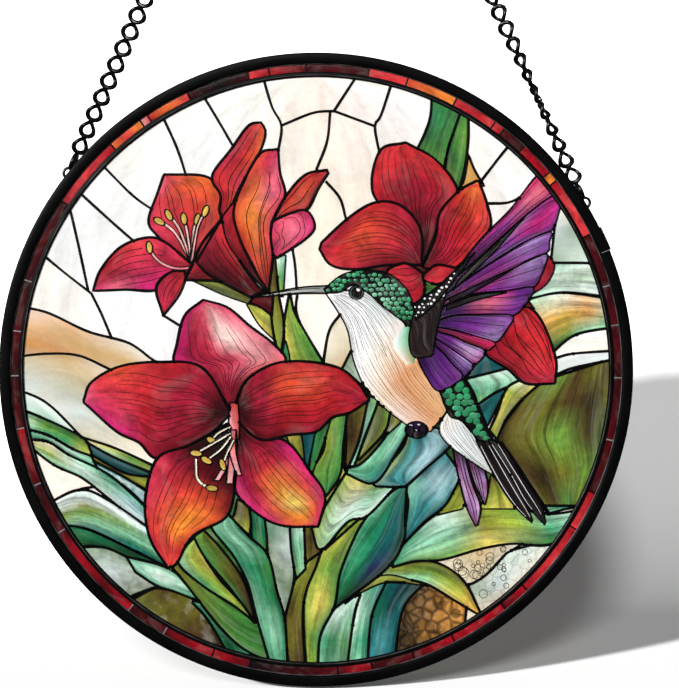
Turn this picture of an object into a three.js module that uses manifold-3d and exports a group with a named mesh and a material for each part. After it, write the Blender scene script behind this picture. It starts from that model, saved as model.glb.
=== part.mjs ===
// Round stained glass suncatcher that hangs on one black curb chain.
// Millimetres, +Z up, the picture faces -Y. The origin is where a hook bears, inside the top ring.
import * as THREE from "three";
import { mergeVertices } from "three/addons/utils/BufferGeometryUtils.js";
import Module from "manifold-3d";

// Driving dimensions
const PANEL_RADIUS = 100; // outside of the rim
const TURN_STEPS = 48; // steps round the rim, the border and the came
const GAP = 0.3; // left between pieces that touch

const RIM = { face: 3.4, wall: 1.5, lip: 0.7, depth: 5 };
const GLASS_THICKNESS = 3;
const CAME = { radius: 93.1, face: 1.6, web: 0.4, flange: 0.5 };

const EYE = { bore: 1.1, wire: 1.0, offset: 0.6 };
const TOP_RING = { bore: 3.8, wire: 1.4 };

const LINK = { wire: 1.2, width: 5.7, pitch: 5.65, sides: 5, steps: 10 };
const LINK_TWIST = 90; // degrees: a curb link's two ends stand across each other
const ACROSS = 90; // degrees: the plain end links stand edge-on to the panel
const RUNS = {
  // facing: degrees by which the lowest and the highest curb link are turned from the panel's plane
  left: { links: 34, side: -1, facing: [45, -45], turningLinks: 31 },
  right: { links: 36, side: 1, facing: [20, 135], turningLinks: 9 },
};
const SEPARATE_LINKS = 24; // in each run, counted from the panel; those above are one joined piece
const PRESS = 0.25; // how far joined links press into each other

// Colours and finishes
const BLACK_METAL = { color: 0x0b0b0c, roughness: 0.35, metalness: 0.7 };
const BLACK_LEAD = { color: 0x141414, roughness: 0.5, metalness: 0.4 };
const RED_GLASS = { color: 0x7a1220, roughness: 0.15, metalness: 0 };
const PICTURE_GLASS = { color: 0xc9c8a8, roughness: 0.15, metalness: 0 };

// Where the panel and the chain's ends are
const eyeRadius = PANEL_RADIUS + EYE.offset;
const chainPlane = RIM.depth / 2 + GAP + EYE.wire / 2; // behind the panel's middle plane
const hangHeight = 243; // from the panel's centre up to the middle of the top ring
const panelCentre = new THREE.Vector3(0, -chainPlane, -hangHeight - TOP_RING.bore);
const topRingCentre = new THREE.Vector3(0, 0, -TOP_RING.bore);

const wasm = await Module();
wasm.setup();

const suncatcher = new THREE.Group();

function addPiece(name, geometry, finish, parent = suncatcher) {
  const mesh = new THREE.Mesh(geometry, new THREE.MeshStandardMaterial(finish));
  mesh.name = name;
  parent.add(mesh);
  return mesh;
}

// A ring turned about the Y axis, from [radius, y] corners that run round the section
function turnedRing(corners) {
  const section = corners.map(([radius, y]) => new THREE.Vector2(radius, y));
  section.push(section[0].clone());
  return new THREE.LatheGeometry(section, TURN_STEPS);
}

// The rim: a U-channel, its open side inwards, that holds the border glass
function rimGeometry() {
  const outer = PANEL_RADIUS;
  const inner = outer - RIM.face;
  const floor = outer - RIM.wall;
  const half = RIM.depth / 2;
  const groove = half - RIM.lip;
  return turnedRing([
    [inner, -half],
    [outer, -half],
    [outer, half],
    [inner, half],
    [inner, groove],
    [floor, groove],
    [floor, -groove],
    [inner, -groove],
  ]);
}

// The came: an H-section ring between the border glass and the picture
function cameGeometry() {
  const outer = CAME.radius + CAME.face / 2;
  const inner = CAME.radius - CAME.face / 2;
  const webOut = CAME.radius + CAME.web / 2;
  const webIn = CAME.radius - CAME.web / 2;
  const under = GLASS_THICKNESS / 2 + GAP;
  const over = under + CAME.flange;
  return turnedRing([
    [inner, -over],
    [outer, -over],
    [outer, -under],
    [webOut, -under],
    [webOut, under],
    [outer, under],
    [outer, over],
    [inner, over],
    [inner, under],
    [webIn, under],
    [webIn, -under],
    [inner, -under],
  ]);
}

// The border: its glass bricks stand end to end in one ring
function borderGeometry() {
  const outer = PANEL_RADIUS - RIM.wall - GAP;
  const inner = CAME.radius + CAME.web / 2 + GAP;
  const half = GLASS_THICKNESS / 2;
  return turnedRing([
    [inner, -half],
    [outer, -half],
    [outer, half],
    [inner, half],
  ]);
}

// The picture: its cut glass and the leading between it, joined where they touch
function pictureGeometry() {
  const radius = CAME.radius - CAME.web / 2 - GAP;
  return new THREE.CylinderGeometry(radius, radius, GLASS_THICKNESS, TURN_STEPS);
}

// A round wire ring lying in the plane of the panel
function wireRing(bore, wire, sides, steps) {
  return new THREE.TorusGeometry(bore + wire / 2, wire / 2, sides, steps).rotateX(Math.PI / 2);
}

// A link along Z: a wire loop pulled out to a long oval, then twisted about its length by so many degrees
function linkGeometry(twist, longer) {
  const bend = (LINK.width - LINK.wire) / 2;
  const halfLength = (LINK.pitch + LINK.wire) / 2 + longer;
  const straight = halfLength - bend;
  const geometry = new THREE.TorusGeometry(bend, LINK.wire / 2, LINK.sides, LINK.steps);
  geometry.rotateZ(Math.PI / LINK.steps).rotateX(Math.PI / 2);
  const corner = geometry.getAttribute("position");
  for (let i = 0; i < corner.count; i++) {
    const z = corner.getZ(i) + Math.sign(corner.getZ(i)) * straight;
    const turn = THREE.MathUtils.degToRad(twist / 2) * THREE.MathUtils.clamp(z / halfLength, -1, 1);
    const x = corner.getX(i);
    const y = corner.getY(i);
    corner.setXYZ(
      i,
      x * Math.cos(turn) - y * Math.sin(turn),
      x * Math.sin(turn) + y * Math.cos(turn),
      z,
    );
  }
  return geometry;
}

function solidOf(geometry) {
  const bare = geometry.clone();
  bare.deleteAttribute("normal");
  bare.deleteAttribute("uv");
  const merged = mergeVertices(bare, 1e-3);
  return new wasm.Manifold(
    new wasm.Mesh({
      numProp: 3,
      vertProperties: merged.getAttribute("position").array,
      triVerts: new Uint32Array(merged.index.array),
    }),
  );
}

function geometryOf(solid) {
  const mesh = solid.getMesh();
  const geometry = new THREE.BufferGeometry();
  geometry.setAttribute("position", new THREE.BufferAttribute(mesh.vertProperties, 3));
  geometry.setIndex(new THREE.BufferAttribute(mesh.triVerts, 1));
  geometry.computeVertexNormals();
  return geometry;
}

// The panel
const panel = new THREE.Group();
panel.position.copy(panelCentre);
suncatcher.add(panel);
addPiece("rim", rimGeometry(), BLACK_METAL, panel);
addPiece("border_glass", borderGeometry(), RED_GLASS, panel);
addPiece("border_came", cameGeometry(), BLACK_LEAD, panel);
addPiece("picture_glass", pictureGeometry(), PICTURE_GLASS, panel);

// The angle from straight up at which a run of this length leaves the rim, so that the panel hangs straight
function eyeAngle(runLength) {
  const cosine =
    (eyeRadius ** 2 + hangHeight ** 2 - runLength ** 2) / (2 * eyeRadius * hangHeight);
  return Math.acos(cosine);
}

// A run of chain: an eye on the rim's back, a plain first link across it, then curb links up to the top ring
function addRun(name, run) {
  const angle = eyeAngle(EYE.bore + run.links * LINK.pitch + TOP_RING.bore);
  const eyeCentre = new THREE.Vector3(
    run.side * eyeRadius * Math.sin(angle),
    0,
    panelCentre.z + eyeRadius * Math.cos(angle),
  );
  const eye = addPiece(`${name}_eye`, wireRing(EYE.bore, EYE.wire, 6, 12), BLACK_METAL);
  eye.position.copy(eyeCentre);

  const line = new THREE.Group();
  line.position.copy(eyeCentre);
  line.rotation.y = Math.atan2(topRingCentre.x - eyeCentre.x, topRingCentre.z - eyeCentre.z);
  suncatcher.add(line);

  const joined = [];
  for (let k = 0; k < run.links; k++) {
    const isEnd = k === 0 || k === run.links - 1;
    const isPressed = k > SEPARATE_LINKS && !isEnd;
    const turned = THREE.MathUtils.clamp((k - 1) / run.turningLinks, 0, 1);
    const facing = isEnd ? ACROSS : THREE.MathUtils.lerp(...run.facing, turned);
    const geometry = linkGeometry(isEnd ? 0 : LINK_TWIST, isPressed ? -PRESS : 0);
    geometry.rotateZ(THREE.MathUtils.degToRad(facing));
    geometry.translate(0, 0, EYE.bore + (k + 0.5) * LINK.pitch);
    if (k < SEPARATE_LINKS) {
      const number = String(k + 1).padStart(2, "0");
      addPiece(`${name}_link_${number}`, geometry, BLACK_METAL, line);
    } else {
      joined.push(solidOf(geometry));
    }
  }
  const upper = joined.reduce((all, next) => all.add(next));
  addPiece(`${name}_upper_links`, geometryOf(upper), BLACK_METAL, line);
}

addRun("left", RUNS.left);
addRun("right", RUNS.right);

const topRing = addPiece("top_ring", wireRing(TOP_RING.bore, TOP_RING.wire, 6, 16), BLACK_METAL);
topRing.position.copy(topRingCentre);

export default suncatcher;
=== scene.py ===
import math
import random

import bpy
import numpy as np
from mathutils import Matrix, Vector, kdtree, noise
from mathutils.bvhtree import BVHTree
from mathutils.geometry import delaunay_2d_cdt


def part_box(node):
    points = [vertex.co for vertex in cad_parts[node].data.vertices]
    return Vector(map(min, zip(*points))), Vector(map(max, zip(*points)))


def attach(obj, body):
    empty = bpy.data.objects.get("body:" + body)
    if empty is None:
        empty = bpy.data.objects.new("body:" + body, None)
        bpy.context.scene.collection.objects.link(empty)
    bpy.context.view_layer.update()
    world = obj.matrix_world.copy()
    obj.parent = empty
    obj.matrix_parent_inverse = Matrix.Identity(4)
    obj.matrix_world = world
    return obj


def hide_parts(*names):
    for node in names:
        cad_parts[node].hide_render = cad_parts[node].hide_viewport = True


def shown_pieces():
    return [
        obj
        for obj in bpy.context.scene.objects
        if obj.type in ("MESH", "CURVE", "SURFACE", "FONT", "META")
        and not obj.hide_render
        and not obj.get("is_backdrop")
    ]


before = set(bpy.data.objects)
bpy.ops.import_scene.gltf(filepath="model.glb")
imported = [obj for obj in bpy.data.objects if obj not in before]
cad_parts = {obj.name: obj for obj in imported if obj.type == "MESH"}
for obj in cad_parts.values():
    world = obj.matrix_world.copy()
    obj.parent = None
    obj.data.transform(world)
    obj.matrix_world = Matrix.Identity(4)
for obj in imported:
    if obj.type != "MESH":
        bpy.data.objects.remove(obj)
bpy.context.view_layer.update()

# ---------------------------------------------------------------------------------------------
# The rim: a black steel channel bent into a ring, its open side inwards, with a short sleeve
# over the place where its two ends meet. Turned from its section.
# ---------------------------------------------------------------------------------------------
MM = 0.001
RIM_FACE = 3.4
RIM_ROUNDING = 0.45
RIM_STEPS = 180
RIM_BLACK = (0.0006, 0.0006, 0.0007, 1)
SLEEVE_FROM = 22.2  # degrees, anticlockwise from the right
SLEEVE_TO = 26.6
SLEEVE_PROUD = 0.35

rim_low, rim_high = (Vector(corner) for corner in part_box("rim"))
PANEL = (rim_low + rim_high) / 2
RIM_RADIUS = (rim_high.x - rim_low.x) / 2 / MM
RIM_HALF_DEPTH = (rim_high.y - rim_low.y) / 2 / MM


def start_edit():
    """opens the active piece for editing with all of it selected"""
    bpy.ops.object.mode_set(mode="EDIT")
    bpy.ops.mesh.select_all(action="SELECT")


def turned_ring(name, inner, outer, half_depth, rounding, steps, start=0.0, turn=360.0):
    """a ring about the panel's middle, from a plane set on edge, its corners rounded, spun round"""
    bpy.ops.object.select_all(action="DESELECT")
    bpy.ops.mesh.primitive_plane_add(size=1, location=((inner + outer) / 2, 0, 0))
    ring = bpy.context.active_object
    ring.name = name
    ring.rotation_euler = (math.pi / 2, 0, 0)
    ring.scale = (outer - inner, 2 * half_depth, 1)
    bpy.ops.object.transform_apply(location=True, rotation=True, scale=True)
    start_edit()
    bpy.ops.mesh.bevel(offset=rounding, segments=3, affect="VERTICES")
    if turn >= 360.0:
        bpy.ops.mesh.delete(type="ONLY_FACE")
        bpy.ops.mesh.select_all(action="SELECT")
    bpy.ops.mesh.spin(steps=steps, angle=math.radians(turn), center=(0, 0, 0), axis=(0, 0, 1))
    bpy.ops.mesh.select_all(action="SELECT")
    bpy.ops.mesh.remove_doubles(threshold=0.001)
    bpy.ops.mesh.normals_make_consistent(inside=False)
    bpy.ops.object.mode_set(mode="OBJECT")
    ring.data.transform(Matrix.Rotation(math.radians(start + turn), 4, "Z"))
    stand_up = Matrix.Rotation(math.pi / 2, 4, "X")
    ring.data.transform(Matrix.Translation(PANEL) @ stand_up @ Matrix.Scale(MM, 4))
    return ring


def new_material(name):
    """a material with its Principled shader"""
    made = bpy.data.materials.new(name)
    made.use_nodes = True
    return made, made.node_tree.nodes, made.node_tree.links, made.node_tree.nodes["Principled BSDF"]


def finish_piece(piece, material, slot, *nodes, smooth=40):
    """gives a piece its finish, hangs it on the one body and hides the drawn parts of the nodes it stands for"""
    piece.data.materials.clear()
    piece.data.materials.append(material)
    bpy.ops.object.select_all(action="DESELECT")
    piece.select_set(True)
    bpy.context.view_layer.objects.active = piece
    bpy.ops.object.shade_smooth_by_angle(angle=math.radians(smooth))
    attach(piece, "root")
    if nodes:
        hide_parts(*nodes)


def wear_group():
    """a patchy mask and a fine grain, for paint and patina on metal"""
    group = bpy.data.node_groups.new("metal_wear", "ShaderNodeTree")
    group.interface.new_socket("Size", in_out="INPUT", socket_type="NodeSocketFloat")
    group.interface.new_socket("Patches", in_out="OUTPUT", socket_type="NodeSocketFloat")
    group.interface.new_socket("Grain", in_out="OUTPUT", socket_type="NodeSocketFloat")
    nodes, links = group.nodes, group.links
    given = nodes.new("NodeGroupInput")
    result = nodes.new("NodeGroupOutput")
    place = nodes.new("ShaderNodeTexCoord")
    patches = nodes.new("ShaderNodeTexNoise")
    patches.inputs["Detail"].default_value = 4
    grain = nodes.new("ShaderNodeTexNoise")
    grain.inputs["Scale"].default_value = 2600
    links.new(place.outputs["Object"], patches.inputs["Vector"])
    links.new(place.outputs["Object"], grain.inputs["Vector"])
    links.new(given.outputs["Size"], patches.inputs["Scale"])
    links.new(patches.outputs["Fac"], result.inputs["Patches"])
    links.new(grain.outputs["Fac"], result.inputs["Grain"])
    return group


METAL_WEAR = wear_group()


def metal_material(name, dark, light, roughness, metallic, patch_size, sheen=0.06):
    """painted or patinated metal: two close colours in patches, a fine grain in the gloss"""
    made, nodes, links, shader = new_material(name)
    wear = nodes.new("ShaderNodeGroup")
    wear.node_tree = METAL_WEAR
    wear.inputs["Size"].default_value = patch_size
    colours = nodes.new("ShaderNodeValToRGB")
    colours.color_ramp.elements[0].position = 0.35
    colours.color_ramp.elements[1].position = 0.7
    colours.color_ramp.elements[0].color = dark
    colours.color_ramp.elements[1].color = light
    gloss = nodes.new("ShaderNodeMapRange")
    gloss.inputs["To Min"].default_value = roughness - 0.08
    gloss.inputs["To Max"].default_value = roughness + 0.12
    bump = nodes.new("ShaderNodeBump")
    bump.inputs["Strength"].default_value = 0.15
    bump.inputs["Distance"].default_value = 0.0001
    links.new(wear.outputs["Patches"], colours.inputs["Fac"])
    links.new(colours.outputs["Color"], shader.inputs["Base Color"])
    links.new(wear.outputs["Patches"], gloss.inputs["Value"])
    links.new(gloss.outputs["Result"], shader.inputs["Roughness"])
    links.new(wear.outputs["Grain"], bump.inputs["Height"])
    links.new(bump.outputs["Normal"], shader.inputs["Normal"])
    shader.inputs["Metallic"].default_value = metallic
    shader.inputs["Specular IOR Level"].default_value = sheen
    return made


black_steel = metal_material("black_steel", RIM_BLACK, (0.0011, 0.0011, 0.0012, 1), 0.3, 0.0, 90, 0.02)

rim = turned_ring(
    "rim_channel", RIM_RADIUS - RIM_FACE, RIM_RADIUS, RIM_HALF_DEPTH, RIM_ROUNDING, RIM_STEPS
)
finish_piece(rim, black_steel, "black_metal", "rim")

sleeve = turned_ring(
    "rim_sleeve",
    RIM_RADIUS - RIM_FACE + 0.4,
    RIM_RADIUS + SLEEVE_PROUD,
    RIM_HALF_DEPTH + SLEEVE_PROUD,
    0.3,
    6,
    start=SLEEVE_FROM,
    turn=SLEEVE_TO - SLEEVE_FROM,
)
finish_piece(sleeve, black_steel, "black_metal")

# ---------------------------------------------------------------------------------------------
# The picture's pattern: cut glass laid edge to edge. Each pane is drawn between two edges that
# run side by side from one end to the other, in millimetres about the panel's middle, and a
# pane laid later covers those below it.
# ---------------------------------------------------------------------------------------------
PICTURE_RADIUS = 92.9
EDGE_STEP = 1.3
INNER_STEP = 1.7
LEAD = 0.86
THIN_LEAD = 0.5
ROOM_LIGHT = 2.3  # how bright the light makes a white facing pane

GLASS_COLOURS = {
    "white": "ffffff",
    "cream": "fdf5e4",
    "ivory": "fbeed8",
    "blush": "fbe8de",
    "peach": "eebd8c",
    "tan": "d3ab72",
    "amber": "c98c45",
    "rust": "a8562a",
    "gold": "cfa640",
    "yellow": "e2ce62",
    "lime": "9fae3e",
    "olive": "6f6d26",
    "bark": "4e3a1e",
    "umber": "2f2216",
    "leaf": "3d7a34",
    "grass": "6d9a3e",
    "forest": "1c4a2a",
    "pine": "0f3023",
    "emerald": "17734a",
    "jade": "3f9a70",
    "mint": "90caa8",
    "frost": "dcebdf",
    "sage": "93a98d",
    "moss": "5f7450",
    "teal": "1c6064",
    "deepteal": "0d3b40",
    "sea": "3f8e90",
    "sky": "a9c9cf",
    "mist": "cdd8d6",
    "slate": "56646a",
    "beige": "c9c0a0",
    "grey": "9c9a90",
    "indigo": "2b2b5e",
    "scarlet": "cf3439",
    "red": "b41d24",
    "crimson": "9c1a33",
    "wine": "640e1a",
    "maroon": "33070d",
    "black": "0d0a0a",
    "char": "2a2022",
    "coral": "d84c2e",
    "orange": "dd6a2c",
    "flame": "e8862f",
    "rose": "cc3350",
    "pink": "e56f84",
    "petal": "efa3a4",
    "magenta": "c6226c",
    "plum": "7a1a5c",
    "violet": "7a2f8a",
    "purple": "5a2378",
    "grape": "331347",
    "lavender": "a487bd",
    "lilac": "c9a5cf",
    "green": "1f8048",
    "apricot": "e0a070",
    "ruby": "9a0c1c",
    "garnet": "4c070e",
}


def glass_colour(name):
    """a named colour as light, allowing for how brightly the panes are lit"""
    code = GLASS_COLOURS[name]
    levels = [int(code[i : i + 2], 16) / 255 for i in (0, 2, 4)]
    light = [((level + 0.055) / 1.055) ** 2.4 if level > 0.04 else level / 12.92 for level in levels]
    return Vector([level / ROOM_LIGHT for level in light])


def curve(points, step=EDGE_STEP):
    """a smooth line through the points, in even steps"""
    knots = [Vector(point) for point in points]
    knots = [2 * knots[0] - knots[1]] + knots + [2 * knots[-1] - knots[-2]]
    fine = []
    for a, b, c, d in zip(knots, knots[1:], knots[2:], knots[3:]):
        for i in range(8):
            s = i / 8
            fine.append(
                0.5 * (2 * b + (c - a) * s + (2 * a - 5 * b + 4 * c - d) * s * s
                       + (3 * b - a - 3 * c + d) * s ** 3)
            )
    fine.append(knots[-2])
    lengths = [0.0]
    for a, b in zip(fine, fine[1:]):
        lengths.append(lengths[-1] + (b - a).length)
    count = max(2, round(lengths[-1] / step))
    even = []
    at = 0
    for i in range(count + 1):
        want = lengths[-1] * i / count
        while at < len(fine) - 2 and lengths[at + 1] < want:
            at += 1
        span = max(lengths[at + 1] - lengths[at], 1e-9)
        even.append(fine[at].lerp(fine[at + 1], min(1.0, (want - lengths[at]) / span)))
    return even


def along(line, t):
    """the place that far along an evenly stepped line, from 0 to 1"""
    at = min(max(t, 0.0), 1.0) * (len(line) - 1)
    low = min(int(at), len(line) - 2)
    return line[low].lerp(line[low + 1], at - low)


PANES = []
CUTS = []


def pane(glass, left, right, tints, lead=LEAD, streak=1.0):
    """one pane between its two edges. Its tints are rows from the first end to the last, each from
    the left edge to the right. An edge given as (across, up) is the other one, moved that far"""
    if isinstance(right[0], (int, float)):
        right = [(x + right[0], z + right[1]) for x, z in left]
    left = left if isinstance(left[0], Vector) else curve(left)
    right = right if isinstance(right[0], Vector) else curve(right)
    outline = left + right[::-1]
    outline = [p for i, p in enumerate(outline) if (p - outline[i - 1]).length > 0.25]
    turning = sum(p.x * q.y - q.x * p.y for p, q in zip(outline, outline[1:] + outline[:1]))
    if turning < 0:
        outline.reverse()
    rows = [[glass_colour(name) for name in row.split()] for row in tints.split("/")]
    middle = [along(left, i / 8).lerp(along(right, i / 8), 0.5) for i in range(9)]
    length = sum((b - a).length for a, b in zip(middle, middle[1:]))
    width = sum((along(left, i / 8) - along(right, i / 8)).length for i in range(9)) / 9
    grid = kdtree.KDTree(33 * 13)
    for i in range(33):
        for j in range(13):
            spot = along(left, i / 32).lerp(along(right, i / 32), j / 12)
            grid.insert((spot.x, spot.y, 0), i * 13 + j)
    grid.balance()
    made = {
        "glass": glass, "left": left, "right": right, "outline": outline, "rows": rows, "lead": lead,
        "length": length, "width": width, "grid": grid, "streak": streak, "number": len(PANES),
    }
    PANES.append(made)
    return made


def spot_in(one, t, v):
    """the place t along a pane and v across it"""
    return along(one["left"], t).lerp(along(one["right"], t), v)


def place_in(one, point):
    """how far along and across a pane a place is"""
    _, index, _ = one["grid"].find((point.x, point.y, 0))
    t = index // 13 / 32
    v = index % 13 / 12
    here = spot_in(one, t, v)
    reach = 0.02
    by_t = (spot_in(one, min(t + reach, 1), v) - spot_in(one, max(t - reach, 0), v)) / (
        min(t + reach, 1) - max(t - reach, 0)
    )
    by_v = along(one["right"], t) - along(one["left"], t)
    gap = point - here
    area = by_t.x * by_v.y - by_t.y * by_v.x
    if abs(area) > 1.0:
        t += max(-0.04, min(0.04, (gap.x * by_v.y - gap.y * by_v.x) / area))
        v += max(-0.1, min(0.1, (by_t.x * gap.y - by_t.y * gap.x) / area))
    return min(max(t, 0.0), 1.0), min(max(v, 0.0), 1.0)


def tint_in(one, t, v):
    """a pane's own colour at a place, softly changed from tint to tint"""
    rows = one["rows"]

    def across(row):
        at = v * (len(row) - 1)
        low = min(int(at), max(len(row) - 2, 0))
        return row[low].lerp(row[min(low + 1, len(row) - 1)], at - low)

    at = t * (len(rows) - 1)
    low = min(int(at), max(len(rows) - 2, 0))
    return across(rows[low]).lerp(across(rows[min(low + 1, len(rows) - 1)]), at - low)


def cut(points):
    """a line where the background is cut"""
    CUTS.append(curve(points))


def oval(glass, x, z, wide, high, tints, lead=LEAD, tilt=0.0):
    """a pane with a round or oval outline"""
    halves = []
    steps = max(7, round(math.pi * max(wide, high) / EDGE_STEP))
    for side in (1, -1):
        half = []
        for i in range(steps + 1):
            angle = math.pi * i / steps
            a = side * wide * math.sin(angle)
            b = high * math.cos(angle)
            turn = math.radians(tilt)
            half.append(Vector((x + a * math.cos(turn) - b * math.sin(turn),
                                z + a * math.sin(turn) + b * math.cos(turn))))
        halves.append(half)
    return pane(glass, halves[1], halves[0], tints, lead)


# The background: pale streaky opal glass, cut along lines that run from the rim to the flowers
oval("opal", 0, 0, PICTURE_RADIUS, PICTURE_RADIUS, "white cream blush white cream/cream white ivory blush white/ivory blush cream white cream/ivory cream white ivory cream")
for line in (
    [(-86, 36), (-80, 31), (-71, 24)],
    [(-78, 52), (-75, 39), (-72, 25)],
    [(-76, 57), (-65, 47), (-57, 40)],
    [(-68, 65), (-58, 55), (-51, 50)],
    [(-49, 81), (-44, 70), (-41, 61)],
    [(-36, 87), (-30, 77), (-26, 70)],
    [(-17, 93), (-14, 83), (-11, 77), (-12, 69)],
    [(-11, 77), (-1, 81), (6, 81.6)],
    [(5.6, 81.6), (13, 93)],
    [(5.6, 81.6), (18.5, 76.8)],
    [(24, 91), (20.4, 80.2), (18.5, 76.8), (20, 68)],
    [(4.4, 81.4), (3.4, 72), (0, 63)],
    [(3, 59.4), (7.5, 54), (9.5, 47)],
    [(52, 59.5), (59, 68.5), (62, 72)],
    [(54, 52.4), (61, 52.8), (67, 56)],
    [(-71, 24), (-68, 18), (-64.6, 10)],
    [(-48.3, 17.1), (-42.5, 13.5)],
    [(-7.6, 38.5), (-6.7, 33), (-6.2, 25.6)],
    [(-6, 23.6), (-6.4, 19), (-5, 13.8)],
    [(7.5, 17.1), (3.6, 9.5), (2.9, 1.5)],
    [(11.4, 5.6), (7.6, 0)],
):
    cut(line)

# Pale pieces and long leaves on the left, one below the other
pane("opal", [(-95, 20), (-85, 18), (-72, 12), (-59, 8.3), (-50, 2.2), (-43, 2.3)], (2, -18),
     "blush peach amber tan/peach tan apricot ivory/cream tan beige cream/ivory cream cream blush")
pane("opal", [(-95, 4), (-85, 5), (-75, 4.4), (-65, 0), (-48, -8)], (4, -27),
     "beige mist cream ivory/tan beige mist beige/cream tan beige cream/ivory cream blush cream")
pane("opal", [(-95, -6), (-85, -10.6), (-74, -21.3)], [(-95, -12), (-87, -15), (-74, -21.5)],
     "frost frost/white mint/frost frost")
pane("leaf", [(-75, -21), (-63, -25), (-50, -31)], [(-75, -22), (-64, -27.8), (-51, -34)],
     "peach ivory/yellow mint/grass leaf/olive lime")
pane("leaf", [(-74, -22), (-64, -27.6), (-51, -33)], [(-75, -25), (-69, -28.5), (-60, -33.3), (-51, -35)],
     "deepteal teal/teal deepteal/forest teal")
pane("leaf", [(-74, -25), (-69, -28), (-60, -32.8), (-50, -34)], [(-72, -28), (-62, -33.4), (-51, -39.5)],
     "olive bark/bark olive/lime olive")
pane("leaf", [(-72, -28), (-60.5, -34), (-51, -40)], [(-72, -31), (-61, -36.6), (-52, -45)],
     "teal sea teal/sea frost teal/deepteal sky sea")
pane("leaf", [(-95, -12), (-87, -15), (-74, -21.3), (-71, -26)], [(-95, -18), (-85, -20.6), (-77, -25), (-71, -27.5)],
     "mint frost mint/leaf grass jade/forest leaf jade/olive lime yellow")
pane("leaf", [(-95, -18), (-85, -20.6), (-77, -25), (-71, -27.3)], [(-94, -22), (-85, -22.7), (-78, -27), (-69, -31.4)],
     "mint jade/mint emerald/frost jade/mint jade")
pane("leaf", [(-94, -22), (-85, -22.7), (-78, -27), (-65, -33.5), (-51, -46)],
     [(-92, -24), (-83, -30), (-72.6, -35.3), (-61, -44.3), (-50, -52)],
     "yellow mint/ivory lime mint/mint frost mint/emerald mint frost/jade sky mist/emerald sea mist")
pane("opal", [(-92, -23), (-83, -30), (-75, -33.6), (-70, -37)], [(-90, -40), (-81, -41.4), (-75, -38), (-70, -37)],
     "blush cream/cream blush/ivory blush")
pane("leaf", [(-86, -43), (-75, -38), (-66, -41), (-50, -52)], [(-85, -50), (-73.5, -50), (-59, -56.4), (-46, -63)],
     "white mist frost olive lime mint/frost mist olive grass mint teal/mist frost grass mint emerald teal"
     "/frost sky jade mint emerald deepteal")
pane("leaf", [(-86, -49), (-73.5, -50), (-59, -56.4), (-46, -63)], [(-82, -57), (-70, -55.8), (-59, -59.5), (-48, -64)],
     "forest leaf/emerald forest/pine forest/forest emerald")
pane("wavy", [(-82, -57), (-68, -56), (-59, -59.5)], [(-68, -76), (-57, -71), (-49, -68)],
     "moss sage slate/sage mist moss/moss sage grey")
pane("leaf", [(-60, -59), (-48, -62.2), (-38.5, -67.6), (-31, -74)], [(-57, -64), (-50, -68.4), (-41, -71.8), (-31, -74.5)],
     "jade mint emerald/mint frost jade/jade mint emerald/emerald forest")
pane("leaf", [(-46, -60.5), (-39, -66), (-31, -73.5)], [(-48, -62), (-40, -67.3), (-31, -74.5)],
     "ivory olive/lime olive/olive bark", THIN_LEAD)
pane("wavy", [(-58, -72.5), (-49.7, -69), (-38.5, -72.6), (-31, -76)], [(-62, -84), (-44, -92), (-28, -95)],
     "olive moss beige/bark olive grey/olive bark umber/bark umber bark")
pane("leaf", [(-39, -73), (-30.5, -75), (-23, -81), (-14, -93)], [(-39.2, -73.6), (-35, -78), (-30, -86), (-26, -95)],
     "jade emerald/mint emerald/emerald forest/jade emerald")
pane("leaf", [(-36, -69.4), (-27, -74), (-19, -80), (-13, -94)], [(-36, -71), (-29, -75.8), (-22, -81.5), (-16, -94)],
     "olive bark/bark umber/olive bark")

# Dark leaves low down behind the others, the ground, and the broad leaves on the right
pane("leaf", [(-50, -36), (-20, -16), (20, -6), (45, -20), (62, -34)],
     [(-46, -62), (-20, -90), (14, -92), (40, -64), (62, -50)],
     "forest olive/forest leaf/olive forest/forest bark/leaf olive")
pane("pebbled", [(10, -70), (30, -62), (52, -62), (62, -72)], [(10, -96), (30, -96), (50, -96), (62, -84)],
     "umber bark umber/umber bark umber/bark amber umber/bark tan bark")
pane("crackled", [(49, -60), (62, -57), (76, -53), (84, -50)], [(47, -79.5), (52, -79.5), (60, -76), (72, -68)],
     "beige sage ivory/frost mist tan/frost ivory gold/white amber gold")
pane("bubbled", [(26, -58), (46, -54), (62, -52), (67, -54)], [(26, -64), (44, -68), (52, -66), (60, -58)],
     "beige beige/beige ivory/tan beige/mist beige")
pane("leaf", [(14, -64), (24, -61.6), (36, -60.4), (46, -66), (52, -77)],
     [(14, -67), (24, -66), (34, -67.4), (43, -72.5), (50.5, -77)],
     "mint jade/bark lime mint/olive grass mint/bark lime yellow/gold amber")
pane("leaf", [(24, -60), (28, -54.6), (38, -45.6), (50, -42.4), (62, -43.2), (73, -45.6), (85, -44)],
     [(24, -62.4), (31, -60.6), (40, -60), (52, -56.6), (62, -55), (73, -55.4), (84, -51)],
     "emerald jade/jade mint grass/frost mint grass/lime olive yellow/grass lime moss/mint jade leaf"
     "/frost mint sage")
pane("leaf", [(71, -42), (78, -40), (86, -41)], [(73, -45.6), (79, -44), (86, -43)],
     "jade mint/emerald jade/jade mint")
pane("leaf", [(55, -33), (54, -38.5), (51, -44)], [(57, -35), (60, -39), (63, -44)],
     "bark olive/olive lime/lime yellow", THIN_LEAD)
pane("leaf", [(46, -34), (43, -39), (38, -46)], [(48, -37), (47.5, -41), (46, -44)],
     "olive bark/lime olive/olive lime", THIN_LEAD)
pane("leaf", [(70, -4), (63, -12), (57, -22), (64, -32), (72, -43)], [(95, 4), (95, -6), (95, -18), (94, -30), (87, -43)],
     "olive grass bark olive bark/bark olive bark umber olive/umber olive grass bark leaf/bark umber olive grass bark"
     "/olive bark leaf olive moss",
     streak=1.6)
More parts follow.
